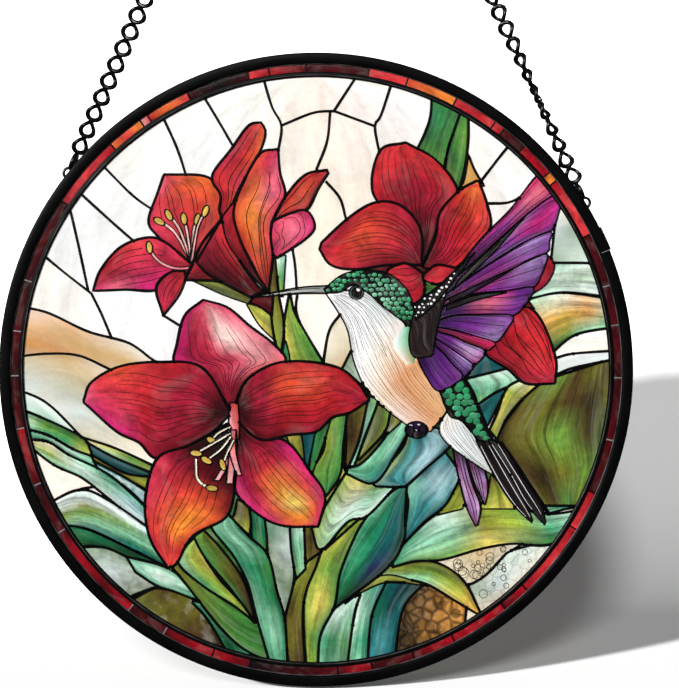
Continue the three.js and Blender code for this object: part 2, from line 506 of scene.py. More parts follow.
pane("opal", [(75, -2), (81, 0.5), (95, 3.4)], [(75, 4), (81, 5), (95, 6.5)], "frost white/mist white/frost white")
pane("opal", [(75, 3.4), (81, 5), (95, 6)], [(75, 6), (82, 11), (95, 14)], "white cream/cream white/ivory white")
pane("leaf", [(74, 5), (82, 11), (95, 13.5)], [(66, 23), (78, 24.3), (95, 22)],
     "emerald amber mint/leaf gold frost/mint amber peach/jade mint frost")
pane("leaf", [(66, 22), (78, 24.3), (95, 22.5)], [(74, 34), (86, 33.6), (95, 33)],
     "mint frost mint/frost sage frost/mist frost sage")
pane("opal", [(74, 33.7), (86, 33.6), (95, 33)], [(76, 52), (82, 56), (88, 52)], "sage mist cream/frost sage cream/beige frost cream")
pane("leaf", [(53.5, 5), (50, 1.6), (47, -3)], [(54, 4.6), (60, 1), (62, -1)], "sea teal/teal deepteal/deepteal teal")
pane("leaf", [(47, -3), (50, -8), (51, -12)], [(61, 0.5), (66, -3), (58, -9)], "mint frost/jade mint/grass mint")
pane("leaf", [(65, -3), (60, -6), (57, -14), (54.6, -19)], [(71, -4), (64.5, -10), (60, -15.6), (57, -22)],
     "frost yellow/lime olive/yellow moss/olive lime")
pane("leaf", [(51, -11), (56, -7.6), (60, -5.6)], [(54, -18), (57, -12), (60, -6)], "deepteal teal/teal pine/deepteal teal")

# Leaves that rise behind the right flower
pane("leaf", [(36.5, 88), (36, 80), (34, 74), (31, 68)], [(49, 84), (43, 74), (41, 67), (40, 60)],
     "leaf forest/emerald leaf/forest leaf/leaf grass")
pane("leaf", [(46.5, 84), (43, 74), (41, 67), (40, 60)], [(48, 82), (48, 72), (46.5, 62), (44, 54)],
     "forest leaf/leaf grass/forest leaf/olive leaf")
pane("opal", [(48, 68), (46.6, 60), (45, 57)], [(48, 68), (50, 63), (53, 58)], "amber gold/tan amber/gold amber")

# Broad leaves that stand up from the bottom
pane("leaf", [(40, -25), (34, -31.7), (28.3, -37), (29, -42), (27.4, -54)],
     [(46, -33), (44, -37), (40.5, -43), (34, -48.3), (27.4, -55)],
     "sea teal sky/teal sky sea/mint sea teal/emerald sea teal/teal deepteal")
pane("leaf", [(21, -67), (17.5, -78), (15, -95)], [(34, -67.5), (27.2, -76), (24.4, -95)],
     "teal deepteal pine/emerald deepteal teal/teal sea deepteal/sea teal deepteal")
pane("leaf", [(14, -69), (11.6, -80), (9, -95)], [(22, -67), (17.5, -78), (16, -95)],
     "mint jade sea/frost mint teal/mint jade emerald/jade mint teal")
pane("leaf", [(14, -71), (7, -74), (1.3, -83), (0, -95)], [(14, -71), (12.3, -76), (11, -84), (9.6, -95)],
     "mint frost/frost jade/jade leaf/mint emerald")
pane("leaf", [(9, -73), (14, -67.6), (23, -64.8), (35, -68)], [(9, -74), (14.3, -70.3), (23, -67), (35, -68.4)],
     "olive bark/lime olive/olive bark", THIN_LEAD)
pane("leaf", [(28.6, -36.8), (24.6, -38), (15.7, -46.3), (8, -58), (4, -76)],
     [(28.6, -37), (28, -46), (27.6, -54), (22, -63), (5, -76)],
     "jade teal emerald/mint emerald teal forest/jade emerald teal pine/mint jade emerald indigo pine"
     "/jade emerald forest pine/emerald forest pine", streak=1.5)
pane("leaf", [(16, -46.3), (9.8, -49), (2, -56.5), (-3, -66), (-4, -79), (-3, -95)],
     [(16, -46.3), (12.5, -52), (7.6, -64), (5.8, -74.5), (1.3, -84), (0.5, -95)],
     "lime grass/yellow lime grass/lime grass leaf/grass yellow leaf/olive grass emerald/grass lime leaf")
pane("leaf", [(2, -55.9), (-4, -61.8), (-8.5, -71), (-9.9, -81), (-8.5, -95)],
     [(2, -55.9), (0, -62), (-3.2, -70), (-4.3, -79), (-3.4, -95)],
     "olive bark/lime olive/bark olive/olive bark/bark umber")
pane("leaf", [(-3.8, -47), (-3.8, -54), (-3.4, -61)], [(1, -48), (1.5, -53), (1.5, -57.5)], "olive bark/bark umber/olive bark")
pane("leaf", [(-9, -47), (-8.4, -56), (-6.3, -66)], [(-4, -47), (-3.6, -56), (-3.4, -63)], "mint frost/jade mint/grass mint")
pane("wavy", [(-17, -45), (-15.5, -57), (-12.6, -69), (-10.3, -77)], [(-8.5, -47), (-8, -56), (-7, -66), (-9.6, -77)],
     "jade sage/moss mist/sage moss/mist moss")
pane("leaf", [(-21.3, -42), (-20.6, -52), (-20, -54.5)], [(-16.6, -45), (-15.6, -53), (-15.6, -59)], "emerald jade/forest emerald/emerald leaf")
pane("leaf", [(-25, -41), (-26, -46), (-27.5, -46.6)], [(-21.3, -42.5), (-20.6, -48), (-21, -52.5)], "olive bark/bark olive/olive lime")
pane("leaf", [(-27.8, -45.6), (-33.4, -49), (-26, -59), (-21.5, -68), (-18.9, -78), (-14, -95)],
     [(-27.8, -45.6), (-21.5, -52.4), (-15.3, -58.6), (-12.4, -70), (-9.9, -79), (-9, -95)],
     "mint jade/emerald mint jade/jade emerald leaf/mint emerald forest/jade mint emerald/emerald jade",
     streak=1.4)
pane("leaf", [(-35.6, -50.6), (-39, -54), (-34, -61), (-26, -70.6), (-19.5, -80)],
     [(-35.6, -50.6), (-30.5, -56), (-24, -64.5), (-21, -72), (-19.2, -80)],
     "grass olive/emerald grass bark/leaf olive umber/emerald bark umber/forest umber")
pane("leaf", [(-38.6, -53), (-44, -60), (-36.7, -67.6), (-26, -74.6), (-19.6, -79.6)],
     [(-38.6, -53), (-36, -58), (-30.4, -66.3), (-24, -73.2), (-19.6, -79.4)],
     "grass lime/mint lime yellow/jade grass lime/grass lime olive/leaf olive")

# Leaves between the front flower and the bird
pane("leaf", [(10, -30), (14.3, -34.6), (24.6, -37.3)], [(0, -30), (0, -50), (2.5, -57)], "lime yellow lime/yellow lime olive/mint grass lime")
pane("leaf", [(10.3, -31), (14, -34.4), (18.4, -36), (24.8, -37.2)], [(-1.5, -50), (1.5, -57), (10, -48), (16, -46.3), (24.8, -37.2)],
     "lime grass lime/yellow frost mint/grass mint frost/mint frost mint", streak=1.5)
pane("leaf", [(29, -19), (27, -25), (18, -35.5), (22, -37), (28, -37)], [(29, -19), (38.5, -18.5), (43, -23), (34, -31.7), (28, -37.2)],
     "lime teal sea/grass sea teal sky/lime sea sky teal/teal sea sky/teal deepteal")
pane("leaf", [(9, -31), (14, -29.8), (20, -23.6), (26, -15)], [(9.6, -33), (18.4, -35.8), (25.4, -26), (30, -18)],
     "emerald mint/mint jade sea/jade mint teal/emerald mint jade")
pane("leaf", [(19, -10), (21, -18), (22, -20)], [(26, -13), (27, -16), (23, -20)], "grey olive/moss olive/olive grey", THIN_LEAD)
pane("leaf", [(18, -10), (15.6, -20), (12.8, -28.6)], [(23.5, -13), (21.4, -20), (13.4, -28.6)], "olive grass/moss olive/olive lime")
pane("leaf", [(14, -8), (13.3, -22), (9, -31)], [(20, -9), (16, -19.6), (12, -30.4)], "mint grass/frost jade/mint jade/jade mint")
pane("leaf", [(8, -10), (9.4, -20), (9, -32)], [(16.4, -9), (13.6, -22), (9.6, -32)], "bark olive/umber bark/olive bark")
pane("leaf", [(3, -14), (2.4, -25), (-1.4, -32.6), (3, -40)], [(10, -12), (8.6, -23), (7.6, -33), (3.2, -40)],
     "grass leaf/lime emerald/grass leaf/leaf emerald")
pane("leaf", [(-1, -18), (-1.7, -26), (-2.5, -32)], [(5, -14), (2.7, -22), (-1.2, -32.6)], "leaf forest/emerald leaf/forest leaf", THIN_LEAD)
pane("leaf", [(-6, -18), (-4.4, -26), (-3.4, -31)], [(0, -18), (-1.6, -26), (-2.6, -31)], "teal deepteal/deepteal teal/teal pine", THIN_LEAD)
pane("leaf", [(-10, -20), (-7, -26), (-4, -30)], [(-5, -19), (-4.2, -24), (-3.6, -30)], "yellow olive/lime olive/olive bark", THIN_LEAD)

# Leaves and stems round the bird's bill
pane("leaf", [(-39, 28), (-30, 23.8), (-21, 20.6)], [(-38, 29), (-30, 27.6), (-19, 22.6)], "olive lime/moss olive/olive bark", THIN_LEAD)
pane("leaf", [(-22, 20.5), (-18, 14), (-13, 9)], [(-21, 21), (-17, 19.6), (-12, 18)], "lime olive/yellow lime/olive grass", THIN_LEAD)
pane("opal", [(2, 1), (4, 12), (7.5, 17.4)], [(8, 0), (11.6, 5.6), (8.5, 17)], "beige tan/ivory beige/beige cream")
pane("leaf", [(16.7, -7), (12, -3), (8, 0)], [(15.8, -8.4), (13.4, 0), (11, 6)], "moss sage/sage frost/sage moss")
pane("leaf", [(-8.6, 24), (-10.2, 14), (-9.6, 5), (-8, 1)], [(-8.2, 24), (-6.8, 18), (-2.4, 10), (3, 1)],
     "grass lime/lime grass/yellow grass leaf/lime leaf")
pane("leaf", [(-10, 9), (-11, 4), (-11.4, 1)], [(-9.6, 9), (-8.6, 5), (-8, 1)], "jade leaf/emerald leaf/leaf forest", THIN_LEAD)
pane("leaf", [(-15.2, 36), (-15, 26), (-13.6, 12), (-11.6, 3.6)], [(-12.6, 36), (-12, 25), (-10.2, 14), (-11.2, 3.6)],
     "bark umber/olive bark/lime olive/grass lime leaf")
pane("leaf", [(-13, 36), (-12.4, 30), (-11.6, 23)], [(-9.6, 36), (-10, 30), (-10.4, 23)], "frost mint/grass jade/lime grass", THIN_LEAD)

# The pink-red lily at the upper left, its buds, and the lines fired on its petals
VEINS = []
random.seed(3)


def veins(one, count, start=0.12, end=0.85, width=0.22, spread=0.0, wave=0.0, colour="dark"):
    """fine fired lines along a pane, tapering, that close in on its first end if spread is given"""
    for i in range(count):
        v = (i + 0.5 + random.uniform(-0.35, 0.35)) / count
        first = start + random.uniform(0, 0.12) * (end - start)
        last = end - random.uniform(0, 0.35) * (end - start) * abs(2 * v - 1) ** 0.5
        trail = []
        for j in range(19):
            t = first + (last - first) * j / 18
            drift = wave * noise.noise((i * 3.1, t * 3, one["number"]))
            trail.append((t, v + (0.5 - v) * spread * (1 - t) + drift))
        VEINS.append((one, trail, width, colour))


back_petal = pane("petal", [(-40, 31.5), (-50, 42), (-53, 47), (-50, 56), (-48.3, 61)],
                  [(-40, 31.5), (-32, 44), (-30, 48), (-30.4, 56), (-35, 61), (-48, 61.6)],
                  "wine crimson wine/crimson red scarlet/rose scarlet coral/rose coral orange/pink rose scarlet")
veins(back_petal, 7, 0.3, 0.9, spread=0.7)
left_petal = pane("petal", [(-40, 31), (-50, 25.2), (-60, 25.2), (-70.5, 24.8)],
                  [(-39, 33), (-48, 40.4), (-54, 41.6), (-62, 38.5), (-68, 31.6), (-70.5, 25)],
                  "wine crimson red/magenta crimson rose/magenta rose scarlet/pink crimson red/magenta rose crimson")
veins(left_petal, 6, 0.25, 0.85, spread=0.6)
low_petal = pane("petal", [(-41.6, 31), (-46, 30.8), (-50.6, 26), (-48.3, 17)],
                 [(-41.4, 31), (-41.4, 28), (-43.6, 23), (-48.3, 17)],
                 "wine red/crimson scarlet/rose crimson/red crimson")
veins(low_petal, 4, 0.15, 0.8)
trumpet = pane("petal", [(-40, 31.5), (-36, 40), (-30, 47.4)], [(-41.4, 28.2), (-30, 27.6), (-21, 23)],
               "crimson wine/red wine/crimson maroon")
trumpet_side = pane("petal", [(-30, 47.4), (-27, 39), (-19, 27), (-14, 23)], [(-38, 34), (-34, 30), (-27, 26), (-19, 22)],
                    "scarlet crimson wine/red wine maroon/wine maroon/maroon wine")
veins(trumpet_side, 5, 0.05, 0.95, 0.3)
pane("petal", [(-21, 21), (-17.5, 19.6), (-14, 17)], [(-20, 23.2), (-16.6, 24.6), (-13.6, 23.6)], "wine maroon/maroon wine")
tall_bud = pane("petal", [(-28.4, 46), (-30.6, 50), (-30.2, 55), (-33, 61), (-27, 69.4), (-21.4, 77), (-17.4, 78)],
                [(-28.4, 46), (-24.6, 56.6), (-18.4, 67.4), (-16, 74.4), (-17.2, 78)],
                "wine crimson/crimson red coral/red scarlet rose/rose red coral/crimson scarlet orange/scarlet coral")
veins(tall_bud, 3, 0.1, 0.9, 0.3)
pane("petal", [(-30, 48), (-28, 40), (-22, 31.6), (-15.6, 24.4)], [(-25.4, 54), (-24, 42), (-18.4, 31), (-15, 24.6)],
     "crimson red/wine red/maroon wine/maroon wine", THIN_LEAD)
orange_petal = pane("petal", [(-15.4, 25), (-19.2, 31), (-24.4, 42), (-25.8, 52), (-18.5, 67.4), (-12.4, 69.6)],
                    [(-15, 25), (-13.6, 36.7), (-13.6, 47), (-9.8, 55), (-11.4, 62), (-12, 69.4)],
                    "wine crimson wine/red coral wine/red orange rose/coral flame rose/red orange pink rose"
                    "/coral rose pink/red rose magenta", streak=1.4)
veins(orange_petal, 5, 0.06, 0.92, 0.28, wave=0.2)
right_bud = pane("petal", [(-14, 46.5), (-10, 54.2), (-3.6, 61.4), (3.4, 63)], [(-14, 46), (-8, 49.4), (-2.8, 50.4), (0.6, 57), (3.8, 62)],
                 "crimson wine/red coral crimson/scarlet coral wine/red crimson")
veins(right_bud, 3, 0.1, 0.9, 0.3)
pink_petal = pane("petal", [(-13.6, 36), (-14.4, 42), (-14, 46.6)], [(-12.4, 35.2), (-3.6, 41), (-0.4, 45.2), (-3, 50.2), (-8, 49.4), (-14, 46.8)],
                  "magenta crimson rose/rose pink magenta/magenta rose scarlet")
veins(pink_petal, 4, 0.1, 0.9, wave=0.2)

# The red flower on the right: four petals about a dark throat
pane("petal", [(12, 31), (20, 30), (26, 29), (32, 27)], [(12, 33), (22, 35), (32, 36), (42, 33)], "maroon wine/wine maroon/maroon wine")
top_petal = pane("petal", [(33.4, 32.5), (26, 46), (17.8, 56), (20, 69), (28, 71.6)],
                 [(33.4, 32.5), (37.6, 43), (40, 51), (44.6, 56.6), (38, 66), (28.4, 71.6)],
                 "maroon maroon/wine maroon wine/crimson wine crimson/red crimson red/scarlet red scarlet/red scarlet red")
veins(top_petal, 9, 0.08, 0.85, 0.22, spread=0.5)
flank_petal = pane("petal", [(33.2, 33), (23, 33), (12, 31.6), (4.6, 33), (1, 38)],
                   [(33.3, 33), (33, 44), (27, 51.6), (18.7, 52.8), (9.8, 47.6), (1.6, 40)],
                   "maroon wine/wine crimson wine/wine scarlet crimson/crimson coral red/scarlet red crimson/crimson rose")
veins(flank_petal, 10, 0.08, 0.8, 0.22, spread=0.4)
side_petal = pane("petal", [(33.6, 32.6), (37.6, 42), (39, 49.6), (45, 56.4), (50.6, 59.6)],
                  [(34, 32), (43, 31.6), (50, 38), (55, 45), (54, 52), (51.4, 59.4)],
                  "maroon wine/wine crimson red/crimson red scarlet/red coral scarlet/coral flame coral")
veins(side_petal, 8, 0.1, 0.85, 0.22, spread=0.4)
small_petal = pane("petal", [(33, 31), (28, 33.6), (22.6, 31.6), (22, 29.6)], [(34, 30), (34, 24), (30.6, 20.6), (25, 27), (22.2, 29.4)],
                   "maroon wine/crimson red/scarlet crimson/red wine")
veins(small_petal, 5, 0.15, 0.85)
pane("petal", [(33.6, 30), (38, 33), (44.4, 32)], [(33.8, 28), (39, 27), (44.4, 31)], "wine crimson/red scarlet/crimson wine")
pane("leaf", [(34.2, 28), (38.6, 26.4)], [(34.2, 23.4), (38.2, 25)], "leaf forest/grass leaf", THIN_LEAD)

# The red flower half hidden behind the wing
low_red = pane("petal", [(61, 17), (66, 20), (71, 15.6), (75.6, 3.6), (75.4, -4)],
               [(61, 17), (56, 10), (53.4, 5), (60.6, 0), (66, -4.4), (75, -4.4)],
               "crimson wine/red crimson wine/scarlet red crimson/red scarlet wine/scarlet crimson/rose crimson")
veins(low_red, 9, 0.1, 0.92, 0.3, wave=0.1)
pane("petal", [(72, 37.4), (75.2, 33), (72.6, 27), (66.4, 22.8)], [(71.8, 37), (69, 30), (66, 23)],
     "red scarlet/crimson red/wine crimson", THIN_LEAD)
pane("petal", [(64, 20.6), (66, 22.6), (69, 19.2)], [(64, 20.4), (66, 19.8), (69, 19)], "wine maroon/maroon wine", THIN_LEAD)

# The large front lily: six petals about a dark throat
high_petal = pane("petal", [(-26.6, -13), (-31, -7), (-36, 0.6), (-44.6, 2), (-44, 8), (-41.6, 17), (-36, 21.8)],
                  [(-26.4, -13), (-22.6, -4), (-17, 0), (-9.6, 2.6), (-13.4, 8), (-21, 13.8), (-28, 19.6), (-35.6, 22)],
                  "maroon wine maroon/wine crimson wine/crimson rose pink coral/magenta crimson rose petal pink"
                  "/magenta crimson rose blush petal pink/magenta crimson rose petal pink rose/magenta rose magenta")
veins(high_petal, 8, 0.1, 0.8, 0.2, spread=0.6)
left_long = pane("petal", [(-27, -13.4), (-36, 0.6), (-49, 2.4), (-62, 1), (-71, -4), (-73.4, -9.6)],
                 [(-27.6, -14.6), (-35, -21.4), (-49.4, -28.2), (-56, -23), (-63, -19.6), (-73.4, -10.4)],
                 "maroon black maroon/wine maroon wine/crimson crimson wine/red crimson crimson wine/scarlet red crimson"
                 "/coral scarlet rose magenta/scarlet rose magenta/pink magenta")
veins(left_long, 10, 0.06, 0.8, 0.2, spread=0.6)
low_left = pane("petal", [(-28, -17), (-40, -23.8), (-50.2, -28), (-54, -41), (-52.6, -53), (-47, -62.4)],
                [(-27, -18), (-25.6, -33), (-28, -46), (-38.9, -52.4), (-43.9, -61), (-46.4, -62.4)],
                "black black/black black black/maroon maroon black/crimson wine maroon/rose scarlet coral wine/rose coral flame coral"
                "/scarlet coral flame coral/crimson scarlet red/scarlet coral")
veins(low_left, 8, 0.2, 0.9, 0.2, spread=0.5)
low_right = pane("petal", [(-26.6, -16), (-25.2, -30), (-25.2, -39), (-17.4, -46.4), (-10, -49.4), (0.4, -49.6)],
                 [(-26, -15), (-18, -20), (-9, -23), (-2, -32), (2.8, -39.8), (0.8, -49)],
                 "black maroon black/maroon maroon wine/wine crimson wine/magenta crimson scarlet crimson magenta"
                 "/magenta scarlet flame coral magenta/magenta orange yellow coral magenta/coral flame coral magenta/rose magenta")
veins(low_right, 8, 0.16, 0.9, 0.2, spread=0.5)
right_long = pane("petal", [(-26, -13), (-22.6, -4), (-14, 1.6), (-4, 2.6), (7, 0.6), (13, -4), (16.7, -9.4)],
                  [(-26, -15), (-18, -22), (-8, -20.6), (0, -19.6), (5, -15.2), (10.6, -13.6), (16.5, -9.8)],
                  "maroon black maroon/wine maroon wine/crimson crimson wine/red coral red wine/scarlet coral red crimson"
                  "/red scarlet red wine/red crimson red/crimson wine")
veins(right_long, 10, 0.06, 0.84, 0.2, spread=0.5)
pane("petal", [(-27.3, -10.4), (-27.7, -16), (-28, -22)], [(-24.7, -10.4), (-24.3, -16), (-24.4, -22)],
     "rose coral/petal scarlet/petal rose", THIN_LEAD)
for bottom, wide in (((-31.4, -35), 0.9), ((-27.4, -36), 1.0), ((-24.4, -33.4), 0.85)):
    pane("petal", [(-26.2 - wide, -19), (-26.6 - wide, -26), (bottom[0] - wide, bottom[1])],
         [(-26.2 + wide, -19), (-26.2 + wide, -26), (bottom[0] + wide, bottom[1])],
         "petal rose/petal coral/pink petal/ivory pink", 0.4)

# Stamens: thin pale threads of glass, each with a yellow anther at its end
STAMEN_WIDTH = 0.95


def stamen(points, anther, tilt, thread="petal", tip="yellow"):
    """a thread of glass with an oval tip"""
    line = curve(points, 3)
    sides = []
    for side in (-1, 1):
        edge = []
        for i, p in enumerate(line):
            run = line[min(i + 1, len(line) - 1)] - line[max(i - 1, 0)]
            out = Vector((-run.y, run.x)).normalized() * side * STAMEN_WIDTH / 2
            edge.append((p.x + out.x, p.y + out.y))
        sides.append(edge)
    pane("petal", sides[0], sides[1], f"{thread} {thread}/ivory {thread}", 0.3)
    if anther:
        oval("petal", anther[0], anther[1], 1.0, 2.0, f"{tip} gold/{tip} amber", 0.35, tilt)


for end, tilt in (((-49.6, 46.8), 60), ((-46.6, 48.8), 30), ((-41.8, 47.6), 10), ((-37.6, 47.4), -10), ((-35, 50), -20)):
    stamen([(-39.4, 34), (end[0] * 0.5 - 20, end[1] * 0.5 + 20), end], end, tilt)
stamen([(-39.6, 32.2), (-45, 32), (-50, 34.4), (-52.7, 38.2)], (-52.7, 38.6), 10, "pink")
for start, bend, end, tilt in (
    ((-27, -18), (-31, -20), (-33, -22.4), 60),
    ((-27, -20), (-32, -23), (-38, -26.4), 80),
    ((-27, -21), (-30, -25), (-34.7, -28.6), 60),
    ((-26, -22), (-28, -26), (-29.6, -30), 20),
    ((-38, -28), (-37.4, -35), (-33, -37.4), 80),
):
    stamen([start, bend, end], end, tilt, "ivory")

# The bird: a bill, a green scaled head and back, a white breast, a peach belly and a dark tail
BILL = pane("bill", [(3.6, 26.5), (-6, 25.8), (-20.6, 22.9)], [(3.8, 24), (-6, 23.9), (-20.6, 22.7)],
            "slate grey/grey mist/slate grey", THIN_LEAD)
veins(BILL, 2, 0.0, 0.9, 0.25)
BREAST = pane("breast", [(3, 24), (7, 18), (10, 12), (12, 2), (17, -7.6), (28.4, -17.4), (36, -19.6)],
              [(6, 25), (17, 24.4), (26, 17), (31, 8), (33, 1), (38.6, -6.6), (41.4, -13)],
              "white white white/white white mist/white white mist/white ivory blush/ivory apricot apricot/blush apricot peach"
              "/apricot apricot tan", THIN_LEAD)
veins(BREAST, 30, 0.02, 0.52, 0.13, wave=0.07, colour="hair")
veins(BREAST, 26, 0.42, 0.99, 0.13, wave=0.06, colour="rust")
UNDERTAIL = pane("breast", [(41.2, -13), (38.6, -19), (43, -25), (50, -30), (57, -34)], [(43.6, -13.6), (47.6, -17), (51, -23), (54, -28), (58, -34)],
                 "ivory white/white mist/mist white/white ivory", THIN_LEAD)
veins(UNDERTAIL, 11, 0.02, 0.98, 0.14, wave=0.1, colour="hair")
PATCH = pane("breast", [(27.4, 13.6), (24.4, 8), (28.4, 1.4)], [(29.6, 14), (31.4, 8), (31, 2)], "mist mint jade/white mint green/ivory apricot jade", 0)
CROWN = pane("scaled", [(2.4, 25.4), (8, 29.8), (15, 31.4), (23, 30.2), (29, 24.6), (31, 17), (30, 13.4)],
             [(3, 24.2), (7.4, 24.4), (11.6, 26.8), (16, 24.4), (21, 20), (25.4, 16.6), (29.4, 13.6)],
             "green jade/jade green/green jade/jade mint/jade green/green jade", THIN_LEAD)
RUMP = pane("scaled", [(39, -6.8), (45.6, -2.6), (48.6, -6), (52, -14.4), (56, -22)], [(40.2, -10.6), (42.4, -15), (45.6, -16), (49.2, -20), (53, -24)],
            "jade green/green jade/jade green/green jade", THIN_LEAD)
for left, right in (
    ([(43, -25), (44.6, -33), (47.2, -43), (50.2, -49.4)], [(47, -27.6), (49.4, -36), (52, -43), (51, -49)]),
    ([(47.4, -28), (50, -36), (53, -42.6)], [(53.4, -32), (54.4, -37), (53.4, -42.4)]),
):
    tail = pane("feather", left, right, "char black/plum lavender/lilac plum/violet lilac/plum char", THIN_LEAD)
    veins(tail, 4, 0.02, 0.95, 0.3)
for left, right, count in (
    ([(50.4, -22.4), (57, -35), (62.4, -43), (68, -48.4)], [(55, -22.6), (61, -33), (66, -42), (68.2, -47.4)], 2),
    ([(54, -22), (61, -33), (66, -42), (72, -49)], [(58.6, -22.8), (64, -32), (70.6, -42), (72.4, -48)], 2),
    ([(55.4, -22), (59.6, -25), (66, -34), (73.4, -45.8)], [(56, -22), (60, -25), (68, -36.6), (73.8, -45.4)], 1),
):
    tail = pane("feather", left, right, "black black/char black/black char", THIN_LEAD)
    veins(tail, count, 0.04, 0.96, 0.22, colour="white")

# The wing: feathers in a fan about the shoulder, under two rows of dark coverts
FEATHER_LINES = [
    [(70.2, 61.8), (61, 50.4), (52, 41.4), (44.6, 32)],
    [(75.2, 55), (66, 48.6), (52, 36), (41, 26.4)],
    [(74, 43.6), (65.4, 40), (54, 33), (41, 24)],
    [(72.4, 36.6), (60, 31), (50, 26.4), (40, 21.6)],
    [(68.6, 26), (60, 24.9), (50, 23.8), (39, 19.6)],
    [(62, 17), (52, 17.4), (43, 17), (37, 15)],
    [(56.6, 8.6), (50, 10.6), (44, 12.4), (37, 13.6)],
    [(53.4, 6), (47.4, 8.5), (43, 10.6), (37, 12.4)],
    [(49.6, 1.6), (44.3, 5.4), (39.8, 8.5), (36, 10.8)],
    [(46.4, -2.2), (43, 1.8), (39.8, 5.4), (36, 9)],
    [(38, -6.7), (34.6, -2), (32.6, 2), (31, 6)],
]
FEATHERS = [  # tip, then the glass from the tip to the shoulder
    ((74, 60.8), "rose crimson magenta/magenta pink plum/magenta violet plum/plum grape/grape black"),
    ((77, 51), "magenta violet/violet magenta purple/lilac violet purple/purple grape/grape black"),
    ((73.6, 40.4), "violet purple/lavender violet/violet plum/purple plum/grape black"),
    ((71.6, 31), "purple grape/lavender violet/plum violet/magenta plum/grape black"),
    ((66.8, 21.4), "grape purple/purple violet/magenta pink plum/purple grape/black grape"),
    ((60, 12.4), "violet purple/violet lavender/purple violet/grape purple/black grape"),
    ((55.6, 7), "crimson rose/magenta crimson/plum crimson/grape black"),
    ((52.4, 3.6), "violet magenta/lavender lilac violet/violet purple/grape purple"),
    ((48.6, -0.6), "purple grape/lavender purple/violet grape/grape black"),
    ((42.4, -5.4), "purple violet/violet purple/purple grape/grape black"),
]
for (tip, tints), upper, lower in zip(FEATHERS, FEATHER_LINES, FEATHER_LINES[1:]):
    feather = pane("feather", [tip] + upper, [tip] + lower, tints, THIN_LEAD, streak=1.5)
    veins(feather, 3, 0.08, 0.95, 0.2)
pane("feather", [(66, 48.6), (54, 37.6), (44.6, 28)], [(66, 48.4), (55, 36), (43, 25)], "char black/black char/char black", 0.4)
pane("feather", [(62, 32), (52, 27.4), (42, 22.6)], [(62, 31.8), (53, 26.4), (42, 20.6)], "char black/grape black/char black", 0.4)
pane("feather", [(60, 24.6), (50, 23.4), (41, 20.6)], [(60, 24.3), (50, 21.8), (41, 18.8)], "slate char/char black/black char", 0.4)
SHOULDER = pane("feather", [(30, 15), (29.2, 9), (30.8, 4), (36, 4.2)], [(31, 19), (40, 23), (39, 17), (37.6, 10), (36.8, 5)],
                "char umber/umber char black/char black/umber char", THIN_LEAD)
veins(SHOULDER, 6, 0.08, 0.92, 0.25)
COVERTS = pane("dotted", [(30.6, 20.6), (38, 26), (45, 32.4), (50, 37)], [(31.4, 15.6), (37, 20.4), (43.4, 28), (49, 35.6)],
               "black black/black char/black black", THIN_LEAD)

# The bird's eye and foot
oval("eye", 12.6, 24.3, 2.35, 2.15, "moss forest/slate grey", 0.28)
oval("eye", 12.7, 24.3, 1.55, 1.6, "black black/black black", 0.28)
oval("opal", 13.3, 25.2, 0.62, 0.55, "white white/white white", 0)
for x, z, wide, high in ((31.6, -19, 3.7, 2.7), (29.6, -19.4, 1.3, 1.6), (31.8, -20.4, 1.4, 1.3), (33.6, -18.8, 1.2, 1.5)):
    oval("feather", x, z, wide, high, "grape black/black black", 0.3)
for x, z in ((29.9, -17.6), (32.4, -17.4), (31.6, -19.2)):
    oval("opal", x, z, 0.75, 0.2, "mist mist/mist mist", 0)

# ---------------------------------------------------------------------------------------------
# The panes as solid glass. All outlines and cuts are laid in one flat net of triangles, each
# triangle goes to the pane laid last over it, and every pane becomes a plate of its own.
# ---------------------------------------------------------------------------------------------
GLASS_HALF = 1.5
KEEP_CLEAR = 0.5
random.seed(11)


def covered(outline, x, z):
    """which of the places lie inside an outline, by how often it turns round them"""
    turns = np.zeros(len(x), dtype=int)
    for p, q in zip(outline, outline[1:] + outline[:1]):
        side = (q.x - p.x) * (z - p.y) - (x - p.x) * (q.y - p.y)
        turns += (p.y <= z) & (q.y > z) & (side > 0)
        turns -= (p.y > z) & (q.y <= z) & (side < 0)
    return turns != 0


def flat_net():
    """the net's places, triangles, the pane that owns each triangle, and the cut lines' edges"""
    places = []
    edges = []
    for line in CUTS:
        first = len(places)
        places += line
        edges += [(first + i, first + i + 1) for i in range(len(line) - 1)]
    cut_count = len(edges)
    for one in PANES:
        first = len(places)
        count = len(one["outline"])
        places += one["outline"]
        edges += [(first + i, first + (i + 1) % count) for i in range(count)]
    near = kdtree.KDTree(len(places))
    for i, p in enumerate(places):
        near.insert((p.x, p.y, 0), i)
    near.balance()
    rows = int(2 * PICTURE_RADIUS / (INNER_STEP * 0.866)) + 1
    for i in range(rows):
        z = -PICTURE_RADIUS + i * INNER_STEP * 0.866
        for j in range(int(2 * PICTURE_RADIUS / INNER_STEP) + 1):
            x = -PICTURE_RADIUS + (j + 0.5 * (i % 2)) * INNER_STEP
            if math.hypot(x, z) < PICTURE_RADIUS and near.find((x, z, 0))[2] > KEEP_CLEAR:
                places.append(Vector((x, z)))
    points, net_edges, triangles, _, edge_source, _ = delaunay_2d_cdt(places, edges, [], 0, 1e-4, True)
    cuts = set()
    for pair, source in zip(net_edges, edge_source):
        if any(index < cut_count for index in source):
            cuts.add((min(pair), max(pair)))
    middles = [(points[a] + points[b] + points[c]) / 3 for a, b, c in triangles]
    x = np.array([p.x for p in middles])
    z = np.array([p.y for p in middles])
    owners = np.full(len(middles), -1)
    picture = covered(PANES[0]["outline"], x, z)
    for one in PANES:
        owners[covered(one["outline"], x, z) & picture] = one["number"]
    kept = [(list(tri), int(owner)) for tri, owner in zip(triangles, owners) if owner >= 0]
    return points, [tri for tri, _ in kept], [owner for _, owner in kept], cuts


